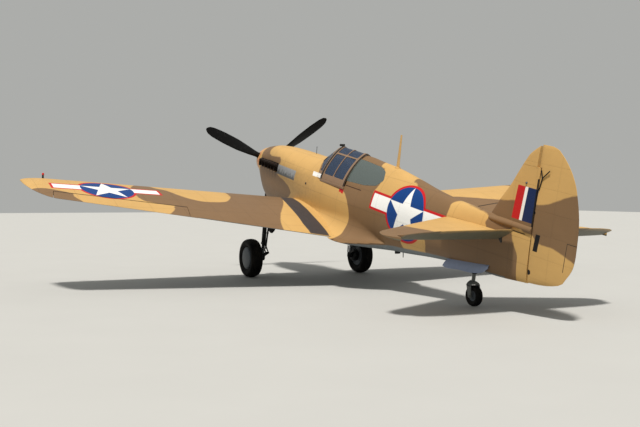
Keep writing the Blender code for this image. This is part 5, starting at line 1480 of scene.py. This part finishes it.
def tail_fork():
    """Swivelling fork: sloping shoulders, two arms with nuts, and the axle."""
    right = [(x, FORK_CROWN - depth) for x, depth in FORK_SHOULDER]
    shoulders = [(-x, z) for x, z in right[::-1]] + right
    front, back = SWIVEL_Y - 0.044, SWIVEL_Y + 0.060
    parts = [prism(shoulders, front, back, "y")]
    arm = rounded([(front, FORK_CROWN - 0.062), (back, FORK_CROWN - 0.062),
                   (TAIL_WHEEL_Y + 0.034, TAIL_WHEEL_Z - 0.02),
                   (TAIL_WHEEL_Y - 0.030, TAIL_WHEEL_Z - 0.03)], 0.02)
    for side, _ in SIDES:
        parts.append(prism(arm, *both(FORK_HALF - 0.014, FORK_HALF, side), "x"))
        parts.append(turned(NUT_PROFILE, (side * 0.086, TAIL_WHEEL_Y, TAIL_WHEEL_Z), (side, 0, 0), 6))
    parts.append(tube([(-0.08, TAIL_WHEEL_Y, TAIL_WHEEL_Z), (0.08, TAIL_WHEEL_Y, TAIL_WHEEL_Z)], 0.0135, 24))
    return join(*parts)


def tail_door(side):
    """Open door of the tail-wheel well: a slightly bulged plate from its hinge line to its lower edge."""
    shares = np.linspace(0, 1, 8)
    bulge = np.outer(np.sin(np.pi * shares), (0.010, 0.006))
    rings = []
    for y in np.linspace(7.605, 8.575, 30):
        inner = np.array([0.078 - 0.003 * (y - 7.6), -0.428 + 0.135 * (y - 7.6)])
        outer = np.array([float(smooth(DOOR_EDGE, k, y)) for k in (1, 2)])
        lines = inner + (outer - inner) * shares[:, None] + bulge
        section = np.concatenate([lines, lines[::-1] + (0.007, 0.005)])
        rings.append(np.column_stack([side * section[:, 0], np.full(len(section), y), section[:, 1]]))
    return skin(rings)


def build_tail_wheel():
    """Tail leg, fork, wheel and the two doors of its well."""
    down = (0, 0, -1)
    leg = turned(STRUT_PROFILE, (0, SWIVEL_Y, STRUT_TOP), down, 40)
    brace = tube([(0, SWIVEL_Y - 0.30, -0.33), (0, SWIVEL_Y - 0.02, -0.53)], 0.014, 16)
    add_piece("tail_strut", join(leg, brace), "fork", ["tail_leg"])
    add_piece("tail_leg_boot", turned(boot_profile(), (0, SWIVEL_Y, 0), down, 40), "seal")
    add_piece("tail_fork_arms", tail_fork(), "fork", ["tail_fork"], "tail_fork")
    centre, across = (0, TAIL_WHEEL_Y, TAIL_WHEEL_Z), (1, 0, 0)
    tyre = turned(tyre_profile(TAIL_TYRE_RADIUS, TAIL_TYRE_WIDTH, 0.080, (-0.2, 0.2)), centre, across, 96,
                  closed=True)
    add_piece("small_tyre", tyre, "rubber", ["tail_tyre"], "tail_wheel")
    hub = TAIL_HUB_HALF + [(radius, -height) for radius, height in TAIL_HUB_HALF[::-1]]
    add_piece("small_hub", turned(hub, centre, across, 64, closed=True), "hub", ["tail_hub"],
              "tail_wheel")
    for side, word in SIDES:
        door = carve(tail_door(side), body_between(7.2, 8.9, 40, GAP))
        add_piece(f"tail_well_door_{word}", door, "door", [f"tail_door_{word}"])


POD_MIDDLE, POD_HEIGHT = 2.640, -0.770
POD_HALF_LENGTH, POD_HALF_WIDTH, POD_HALF_HEIGHT = 0.360, 0.120, 0.150
WHEEL_WELL_Y, WHEEL_WELL_RADIUS = 3.560, 0.415
GUNS, FIRST_GUN, GUN_PITCH = 3, 2.05, 0.22
BARREL_PROFILE = [(0.010, 0.0), (0.019, 0.0), (0.020, 0.004), (0.020, 0.20), (0.028, 0.205), (0.028, 0.24),
                  (0.010, 0.24)]
SOCKET_PROFILE = [(0.0, 0.0), (0.075, 0.0), (0.075, 0.17), (0.066, 0.185), (0.066, 0.21), (0.0, 0.21)]
POST_PROFILE = [(0.0, 0.0), (0.034, 0.0), (0.018, 0.012), (0.014, 0.055), (0.019, 0.058), (0.019, 0.064),
                (0.0, 0.064)]
BULB_PROFILE = [(0.0, 0.062), (0.017, 0.064), (0.022, 0.078), (0.019, 0.094), (0.009, 0.104), (0.0, 0.106)]


def leg_pod(side):
    """Pod under the wing that takes the leg: rings that swell to its middle and close at both ends."""
    turn = full_turn(48)
    rings = []
    for a in np.linspace(0.0, np.pi, 33):
        swell = math.sin(a)
        rings.append(np.column_stack([side * (LEG_X + POD_HALF_WIDTH * swell * np.cos(turn)),
                                      np.full(48, POD_MIDDLE - POD_HALF_LENGTH * math.cos(a)),
                                      POD_HEIGHT + POD_HALF_HEIGHT * swell * np.sin(turn)]))
    return skin(rings)


def aileron_shade_strip(side):
    """Strip of painted shade in the gap ahead of the aileron, along its hinge line in the upper skin."""
    rings = []
    for share in np.linspace(0.002, 0.998, 40):
        x, y, _, _ = aileron_line(share)
        top = line_at(x, y)[0]
        front, back, foot = y - 0.016, y + 0.006, top - 0.010
        rings.append([(side * x, front, foot), (side * x, front, top + 0.0012),
                      (side * x, back, top + 0.0008),
                      (side * x, back, foot)])
    return skin(rings)


def gun_barrels(side):
    """Open gun barrels ahead of the wing's leading edge."""
    barrels = []
    for k in range(GUNS):
        x = FIRST_GUN + GUN_PITCH * k
        y = float(wing_edges(x)[0])
        muzzle = (side * x, y - 0.105, wing_plane(x, y) + 0.005)
        barrels.append(turned(BARREL_PROFILE, muzzle, (0, 1, 0), 32, closed=True))
    return join(*barrels)


def build_wings():
    """Wings with pods, wells and sockets, ailerons, split flaps, gun barrels and lights."""
    for side, word in SIDES:
        room, nose = aileron_room(side, 0.0, 0.97)
        aileron = carve(carve(wing_skin(side), room, operation="INTERSECT"), nose, operation="UNION")
        add_piece(f"aileron_skin_{word}", aileron, "wing", [f"aileron_{word}"],
                  f"aileron_{word}",
                  aileron_fields)
        wing = carve(wing_skin(side), leg_pod(side), operation="UNION")
        well = tube([(side * LEG_X, WHEEL_WELL_Y, -1.3), (side * LEG_X, WHEEL_WELL_Y, WHEEL_WELL_ROOF)],
                    WHEEL_WELL_RADIUS, 72)
        slot = block((side * (LEG_X - 0.09), 2.78, -1.3), (side * (LEG_X + 0.09), 3.3, LEG_WELL_ROOF))
        flap_room = flap_plate(side, RUNNING, 0.013, 0.2, -0.06, FLAP_PLATE + GAP)
        wing = carve(wing, *aileron_room(side, RUNNING, 1.0), well, slot, flap_room)
        add_piece(f"wing_skin_{word}", wing, "wing", [f"wing_{word}"], fields=wing_fields)
        # Painted shade in the gap ahead of the aileron
        add_piece(f"aileron_gap_shade_{word}", aileron_shade_strip(side), "seal")
        flap = flap_plate(side, 0.0, 0.0, 0.0, 0.0, FLAP_PLATE)
        add_piece(f"flap_skin_{word}", flap, "under", [f"flap_{word}"], f"flap_{word}")
        socket = turned(SOCKET_PROFILE, (side * LEG_X, WHEEL_Y, -0.75), (0, 0, -1), 48)
        add_piece(f"leg_socket_{word}", socket, "gear")
        add_piece(f"gun_barrels_{word}", gun_barrels(side), "gun")
        foot = (side * LAMP_X, LAMP_Y, line_at(LAMP_X, LAMP_Y)[0] - 0.004)
        add_piece(f"lamp_post_{word}", turned(POST_PROFILE, foot, (0, 0, 1), 24), "gear")
        add_piece(f"wing_lamp_{word}", turned(BULB_PROFILE, foot, (0, 0, 1), 24), "red_glass")
    edge = float(wing_edges(PITOT_X)[0])
    z = float(wing_plane(PITOT_X, edge))
    pitot = join(tube([(PITOT_X, edge + 0.06, z), (PITOT_X, edge - 0.13, z)], 0.014, 20),
                 tube([(PITOT_X, edge - 0.12, z), (PITOT_X, edge - 0.20, z)], [0.012, 0.008], 20))
    add_piece("pitot_tube", pitot, "gear")


# Trailing edge of the tailplane's round tips, outboard of the elevators: x, y
PLANE_TIP = np.array([(1.820, 8.870), (1.860, 8.830), (1.900, 8.770), (1.930, 8.700), (1.945, 8.640)])
# Elevator's inner trailing corner, cut off beside the rudder: x where it ends, y at both ends
ELEVATOR_CUT, CUT_FRONT, CUT_BACK = 0.260, 9.090, 9.200
ELEVATOR_LEVER = [(8.765, 0.190), (8.870, 0.190), (8.835, 0.085), (8.815, 0.085)]
RUDDER_BRACKET = (0.050, RUDDER_HINGE + 0.035, 1.115)
BRACKET_ARMS = ((-0.037, 0.100), (0.122, 0.112), (-0.037, -0.170))
TAIL_LAMP_PROFILE = [(0.0, 0.0), (0.016, 0.0), (0.015, 0.012), (0.008, 0.020), (0.0, 0.022)]


def tailplane_skin():
    """Tailplane from tip to tip, with room for both elevators."""
    spans = np.append(np.linspace(0.0, 1.80, 40), 1.812)
    tip = np.linspace(PLANE_TIP[0, 0], PLANE_TIP[-1, 0], 14)
    trails = np.append(np.full(len(spans), ELEVATOR_HINGE - 0.028), np.interp(tip, *PLANE_TIP.T))
    half = list(zip(np.append(spans, tip), trails))
    rings = [plane_section(-x, trail=trail) for x, trail in half[::-1]]
    rings += [plane_section(x, trail=trail) for x, trail in half[1:]]
    reach = [ELEVATOR_INNER - RUNNING, *np.linspace(0.3, 1.75, 14), ELEVATOR_OUTER + RUNNING]
    rooms = [skin([elevator_section(side * x, RUNNING, 9.6) for x in reach]) for side, _ in SIDES]
    return carve(skin(rings), *rooms)


def elevator_skin(side):
    """One elevator, undeflected, its inner corner cut off beside the rudder."""
    rings = []
    for x in (ELEVATOR_INNER, 0.18, 0.22, *np.append(0.26, np.linspace(0.3, ELEVATOR_OUTER, 50))):
        share = (x - ELEVATOR_INNER) / (ELEVATOR_CUT - ELEVATOR_INNER)
        tail = CUT_FRONT + (CUT_BACK - CUT_FRONT) * share if x < ELEVATOR_CUT else None
        rings.append(elevator_section(side * x, tail=tail))
    return skin(rings)


def build_tail():
    """Tailplane, raised elevators, fin and rudder, with their small fittings."""
    add_piece("tailplane_skin", tailplane_skin(), "plane", ["tailplane"], fields=plane_fields)
    raise_it = (Matrix.Translation((0, ELEVATOR_HINGE, ELEVATOR_HEIGHT)) @ Matrix.Rotation(ELEVATOR_UP, 4,
                                                                                           "X")
                @ Matrix.Translation((0, -ELEVATOR_HINGE, -ELEVATOR_HEIGHT)))
    for side, word in SIDES:
        elevator = elevator_skin(side)
        fields = plane_fields(places(elevator))
        add_piece(f"elevator_skin_{word}", moved(elevator, raise_it), "plane",
                  [f"elevator_{word}"],
                  "elevators", lambda _, fields=fields: fields)
        lever = moved(prism(rounded(ELEVATOR_LEVER, 0.008), *both(0.150, 0.162, side), "x"), raise_it)
        add_piece(f"elevator_lever_{word}", lever, "seal", body="elevators")
    levels = [*np.linspace(0.30, HORN_BASE - 0.008, 36), HORN_BASE - 0.006,
              *np.linspace(HORN_BASE + 0.01, 1.530, 16)]
    fin = carve(skin([fin_section(z) for z in levels]), body_between(7.8, STERN + 0.2, 40, GAP),
                rudder_skin(RUNNING))
    add_piece("fin_skin", fin, "tail", ["fin"], fields=side_fields)
    add_piece("rudder_skin", rudder_skin(0.0), "tail", ["rudder"], "rudder", side_fields)
    for side, word in SIDES:
        fork = np.array(RUDDER_BRACKET) * (side, 1, 1)
        rods = [tube([fork + (0, *arm), fork], 0.008, 10) for arm in BRACKET_ARMS]
        add_piece(f"rudder_fitting_{word}", join(*rods), "gear", body="rudder")
    lamps = [turned(TAIL_LAMP_PROFILE, (side * 0.040, 9.10, 1.002), (side, 0, 0), 24) for side, _ in SIDES]
    add_piece("tail_lamps", join(*lamps), "hub")


WINDSHIELD_SIDE = [(3.335, 0.345), (3.745, 0.285), (3.745, 0.625), (3.640, 0.650)]
WINDSHIELD_TOP = [(-0.205, 3.150), (0.205, 3.150), (0.150, 3.700), (-0.150, 3.700)]
HOOD_PANES = ((3.870, 4.225), (4.250, 4.620))
PANE_LOW, PANE_HIGH, PANE_TOP_HALF = 0.270, 0.650, 0.145
PLATE_OUTLINE = [(3.480, 0.166), (3.776, 0.166), (3.776, 0.242), (3.455, 0.242)]
# Seals of the hood: name, y, reach aft of it, how far they stand out
HOOD_SEALS = (("hood_front_seal", HOOD_FRONT + 0.006, 0.034, 0.007),
              ("hood_rear_seal", HOOD_REAR - 0.004, 0.0045, 0.001))


def rectangle(low, high):
    """Outline with rounded corners between two opposite corners."""
    return rounded([low, (high[0], low[1]), high, (low[0], high[1])], 0.03)


def hood_seal(y, back, out):
    """Rubber strip round one end of the hood, from 12 mm ahead of y to a reach behind it."""
    half, base, top = (float(smooth(np.asarray(HOOD), k, y)) for k in (1, 2, 3))
    outer, inner = arch(y, half + out, base, top + out), arch(y, half - 0.008, base, top - 0.008)
    front, rear = np.array((0, -0.012, 0)), np.array((0, back, 0))
    return skin(np.stack([outer + front, outer + rear, inner + rear, inner + front], axis=1))


def build_windshield(screen):
    """Frame and glass of the windshield."""
    below = body_between(2.6, COCKPIT_FRONT, 40, 2 * GAP)
    sill = block((-0.6, HOOD_FRONT - 0.3, -0.2), (0.6, HOOD_FRONT + 0.1, SILL + 0.001))
    bars = carve(arch_shell(screen, 0.0, 0.016), prism(rounded(WINDSHIELD_SIDE, 0.03), -0.6, 0.6, "x"),
                 prism(rounded(WINDSHIELD_TOP, 0.03), 0.5, 1.0, "z"), below, sill)
    add_piece("windshield_bars", bars, "frame", ["windshield_frame"])
    clear = carve(arch_shell(screen, 0.010, 0.015), below, sill)
    add_piece("windshield_pane", clear, "clear", ["windshield_glass"])


def build_glazing():
    """Windshield, sliding hood and the two windows behind it."""
    screen = glazing_at(SCREEN, np.linspace(WINDSHIELD_FRONT, HOOD_FRONT - 0.010, 24))
    build_windshield(screen)
    cutters = []
    for start, end in HOOD_PANES:
        cutters.append(prism(rectangle((start, PANE_LOW), (end, PANE_HIGH)), -0.6, 0.6, "x"))
        cutters.append(prism(rectangle((-PANE_TOP_HALF, start), (PANE_TOP_HALF, end)), 0.5, 1.0, "z"))
    hood = arch_shell(glazing_at(HOOD, np.linspace(HOOD_FRONT, HOOD_REAR, 12)), 0.0, 0.018)
    add_piece("hood_bars", carve(hood, *cutters), "frame", ["canopy_frame"], "canopy")
    inner = glazing_at(HOOD, np.linspace(HOOD_FRONT + 0.012, HOOD_REAR - 0.012, 12))
    add_piece("hood_pane", arch_shell(inner, 0.010, 0.0145), "clear", ["canopy_glass"],
              "canopy")
    for name, y, back, out in HOOD_SEALS:
        add_piece(name, hood_seal(y, back, out), "seal", body="canopy")
    mirror = join(block((-0.055, 3.730, 0.779), (0.055, 3.752, 0.822), 0.008),
                  tube([(0, 3.741, 0.755), (0, 3.741, 0.785)], 0.008, 12))
    add_piece("mirror", mirror, "seal")
    plate = carve(arch_shell(screen, -0.002, 0.004), prism(rounded(PLATE_OUTLINE, 0.008), 0.2, 0.7, "x"),
                  operation="INTERSECT")
    add_piece("data_plate", plate, "white")
    for side, word in SIDES:
        window = prism(quarter_outline(-0.002), *both(0.117, 0.7, side), "x")
        pane = carve(body_between(4.2, 6.2, 60), window, operation="INTERSECT")
        pane = carve(pane, body_between(4.1, 6.3, 60, -0.007))
        add_piece(f"rear_pane_{word}", pane, "tinted", [f"quarter_window_{word}"])


SEAT_BACK = [(4.500, -0.300), (4.550, -0.300), (4.632, 0.255), (4.602, 0.255)]
SEAT_SIDE = [(4.160, -0.290), (4.560, -0.290), (4.585, 0.015), (4.400, -0.020), (4.210, -0.080)]
BELT_LINE = np.array([(0.070, 4.640, 0.300), (0.080, 4.600, 0.240), (0.085, 4.535, 0.100),
                      (0.080, 4.500, -0.050), (0.060, 4.460, -0.130), (0.040, 4.340, -0.138)])
BELT_SECTION = np.array([(-0.022, 0, 0), (0.022, 0, 0), (0.022, -0.003, 0.003), (-0.022, -0.003, 0.003)])
# Right halves of the armour plate's and the instrument panel's outlines, from the foot up: x, z
ARMOUR_HALF = [(0.240, COCKPIT_FLOOR + 0.050), (0.240, 0.350), (0.120, 0.640)]
PANEL_HALF = [(0.330, -0.080), (0.345, 0.300), (0.200, 0.400)]
GRIP_PROFILE = [(0.0, 0.0), (0.018, 0.0), (0.023, 0.02), (0.019, 0.05), (0.023, 0.08), (0.021, 0.12),
                (0.012, 0.135), (0.0, 0.137)]


def symmetric(half, radius):
    """Whole outline from its right half, with rounded corners."""
    return rounded([(-half[0][0], half[0][1]), *half, *((-x, z) for x, z in half[:0:-1])], radius)


def build_cockpit():
    """Bucket seat, armour, instrument panel and stick."""
    seat = [block((-0.200, 4.150, COCKPIT_FLOOR + 0.10), (0.200, 4.540, -0.200), 0.03),
            prism(rounded(SEAT_BACK, 0.012), -0.205, 0.205, "x")]
    for side, _ in SIDES:
        seat.append(prism(rounded(SEAT_SIDE, 0.03), *both(0.190, 0.206, side), "x"))
        seat.append(tube([(side * 0.17, 4.30, COCKPIT_FLOOR), (side * 0.17, 4.34, COCKPIT_FLOOR + 0.12)],
                         0.014, 12))
    add_piece("bucket_seat", join(*seat), "zinc", ["pilot_seat"])
    cushion = block((-0.180, 4.175, -0.205), (0.180, 4.500, -0.145), 0.028)
    back = moved(block((-0.175, -0.030, -0.19), (0.175, 0.020, 0.19), 0.022),
                 Matrix.Translation((0, 4.545, 0.01)) @ Matrix.Rotation(-0.14, 4, "X"))
    add_piece("seat_pads", join(cushion, back), "leather")
    armour = prism(symmetric(ARMOUR_HALF, 0.02), DECK_FRONT - 0.016, DECK_FRONT - GAP, "y")
    add_piece("armour_sheet", armour, "zinc", ["armour_plate"])
    rest = block((-0.085, DECK_FRONT - 0.075, 0.330), (0.085, DECK_FRONT - 0.014, 0.520), 0.022)
    add_piece("head_pad", rest, "leather")
    belts = [skin((BELT_LINE * (side, 1, 1))[:, None] + BELT_SECTION) for side, _ in SIDES]
    add_piece("harness", join(*belts), "sand")
    panel = prism(symmetric(PANEL_HALF, 0.03), COCKPIT_FRONT + GAP, COCKPIT_FRONT + 0.020, "y")
    add_piece("dial_panel", panel, "panel", ["instrument_panel"])
    hood = []
    for y, grow in ((COCKPIT_FRONT - 0.02, 0.0), (COCKPIT_FRONT + 0.11, 0.012)):
        line = arch(y, 0.320, 0.20, 0.435 + grow, 33, 2.2)
        hood.append(np.concatenate([line, (line * (0.975, 1, 1) - (0, 0, 0.008))[::-1]]))
    add_piece("panel_hood", skin(hood), "seal")
    foot, top = np.array((0, 3.980, COCKPIT_FLOOR)), np.array((0, 3.978, -0.03))
    stick = tube(foot + (top - foot) * np.linspace(0, 1, 12)[:, None], 0.014, 24)
    add_piece("stick_column", stick, "gear", ["control_stick"])
    grip = turned(GRIP_PROFILE, (0, 3.977, -0.055), (0, 0.08, 1), 32)
    add_piece("stick_handle", grip, "grip")


MAST_Y = 5.760
MAST_FOOT = [(0.0, 0.010), (0.030, 0.010), (0.052, 0.000), (0.052, -0.02), (0.0, -0.02)]
SIGHT_Y = 2.70
BEAD_PROFILE = [(0.0, -0.011), (0.008, -0.008), (0.011, 0.0), (0.008, 0.008), (0.0, 0.011)]
FILLER_Y, FILLER_Z = 3.28, -0.02
CAP_PROFILE = [(0.0, 0.006), (0.020, 0.005), (0.024, 0.0), (0.0, -0.004)]
OUTLET_PROFILE = [(0.0, 0.0), (0.044, 0.0), (0.048, 0.008), (0.048, 0.060), (0.038, 0.065), (0.038, 0.020),
                  (0.0, 0.020)]
FORMATION_LAMP = (2.57, 4.10)
LENS_PROFILE = [(0.0, 0.012), (0.016, 0.009), (0.022, 0.0), (0.0, -0.004)]


def antenna_mast():
    """Tapered mast: ellipses that shrink upwards, cut off at the body's skin."""
    turn = full_turn(32)
    rings = []
    for t in np.linspace(0, 1, 20):
        half, wide, z = 0.052 - 0.029 * t ** 0.8, 0.016 - 0.007 * t, 0.600 + 0.645 * t
        y = MAST_Y + 0.015 * t + half * np.sin(turn)
        rings.append(np.column_stack([wide * np.cos(turn), y, np.full(32, z)]))
    return carve(skin(rings), body_between(5.4, 6.2, 30, GAP))


def build_fittings():
    """Antenna mast, sight, filler cap and small things on the skin."""
    up = (0, 0, 1)
    add_piece("mast", antenna_mast(), "sand", ["antenna_mast"])
    add_piece("mast_foot", turned(MAST_FOOT, (0, MAST_Y, 0.690), up, 32), "sand")
    top = float(smooth(BODY_STATIONS, 1, SIGHT_Y))
    sight = join(tube([(0, SIGHT_Y, top - 0.01), (0, SIGHT_Y, top + 0.135)], 0.0055, 10),
                 turned(BEAD_PROFILE, (0, SIGHT_Y, top + 0.138), up, 16))
    add_piece("bead_sight", sight, "hub")
    flank = float(np.interp(FILLER_Z, *body_side(FILLER_Y)))
    cap = turned(CAP_PROFILE, (flank, FILLER_Y, FILLER_Z), (1, 0, 0.1), 24)
    add_piece("filler_caps", cap, "seal")
    outlet = turned(OUTLET_PROFILE, (0, 6.02, -0.690), (0, 0.35, -1), 32)
    add_piece("belly_outlet", outlet, "seal")
    post = tube([(0, 6.20, -0.670), (0, 6.22, -0.775)], [0.009, 0.006], 12)
    add_piece("belly_post", post, "gear")
    x, y = FORMATION_LAMP
    light = turned(LENS_PROFILE, (-x, y, line_at(x, y)[0]), up, 24)
    add_piece("formation_lamp", light, "white_glass")


def body_side(y):
    """Heights and half-widths down one flank of the body at station y, for placing what sits on it."""
    ring = body_section([y], 720)[0][:361]
    return ring[::-1, 2], ring[::-1, 0]


def dress_nodes():
    """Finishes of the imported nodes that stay."""
    for node, finish in (("radiators", "core"), ("engine_block", "engine")):
        obj = frame["nodes"][node]
        obj.data.materials.clear()
        obj.data.materials.append(FINISHES[finish])


# Floor, light and camera

CAMERA_PLACE = (8.016, 13.4227, 1.665)
CAMERA_YAW, CAMERA_PITCH, CAMERA_ROLL = (math.radians(a) for a in (-27.266, -1.289, 0.288))
FOCAL_LENGTH = 49.33


FLOOR_HALF, FLOOR_DEPTH = 60.0, 0.02
FLOOR_COLOUR = (0.45, 0.45, 0.435, 1.0)
SUN_STRENGTH, SUN_WIDTH = 4.2, math.radians(6.0)
SUN_DIRECTION = (0.32, 0.33, 0.89)
SUN_COLOUR = (1.0, 0.96, 0.90)
SKY_STRENGTH = 0.48
SKY_COLOUR = (0.86, 0.87, 0.84, 1.0)


def build_stage():
    """Plain pale floor, a soft sun high on the left behind the camera, and an even sky."""
    floor = block((-FLOOR_HALF, -FLOOR_HALF, -FLOOR_DEPTH), (FLOOR_HALF, FLOOR_HALF, 0.0))
    floor_paint, place, _ = new_finish("pale_floor")
    surface(place, shade(FLOOR_COLOUR, 0.97 + noise(place, 0.8) * 0.06), 0.8)
    floor.materials.append(floor_paint)
    floor_obj = bpy.data.objects.new("floor", floor)
    bpy.context.scene.collection.objects.link(floor_obj)
    sun = bpy.data.lights.new("sun", "SUN")
    sun.energy = SUN_STRENGTH
    sun.angle = SUN_WIDTH
    sun.color = SUN_COLOUR
    sun_obj = bpy.data.objects.new("sun", sun)
    sun_obj.rotation_euler = Vector(SUN_DIRECTION).to_track_quat("Z", "Y").to_euler()
    bpy.context.scene.collection.objects.link(sun_obj)
    world = bpy.data.worlds.new("soft_sky")
    world.use_nodes = True
    back = world.node_tree.nodes["Background"]
    back.inputs["Color"].default_value = SKY_COLOUR
    back.inputs["Strength"].default_value = SKY_STRENGTH
    bpy.context.scene.world = world
    bpy.context.scene.view_settings.view_transform = "Standard"


def build_camera():
    """Camera at the photograph's place, aimed by yaw, pitch and roll."""
    yaw, pitch, roll = CAMERA_YAW, CAMERA_PITCH, CAMERA_ROLL
    ahead = Vector((math.sin(yaw) * math.cos(pitch), -math.cos(yaw) * math.cos(pitch), math.sin(pitch)))
    right = ahead.cross(Vector((0, 0, 1))).normalized()
    up = right.cross(ahead)
    level, tilt = right * math.cos(roll) + up * math.sin(roll), up * math.cos(roll) - right * math.sin(roll)
    camera = bpy.data.cameras.new("camera")
    camera.lens = FOCAL_LENGTH
    camera.sensor_width = 36.0
    camera.clip_end = 300.0
    obj = bpy.data.objects.new("camera", camera)
    turn = Matrix((level, tilt, -ahead)).transposed().to_4x4()
    obj.matrix_world = Matrix.Translation(Vector(CAMERA_PLACE)) @ turn
    bpy.context.scene.collection.objects.link(obj)
    bpy.context.scene.camera = obj


def main():
    make_finishes()
    build_body()
    build_cowling()
    build_exhausts()
    build_propeller()
    build_main_wheels()
    build_tail_wheel()
    build_wings()
    build_tail()
    build_glazing()
    build_cockpit()
    build_fittings()
    dress_nodes()
    build_stage()
    build_camera()


main()
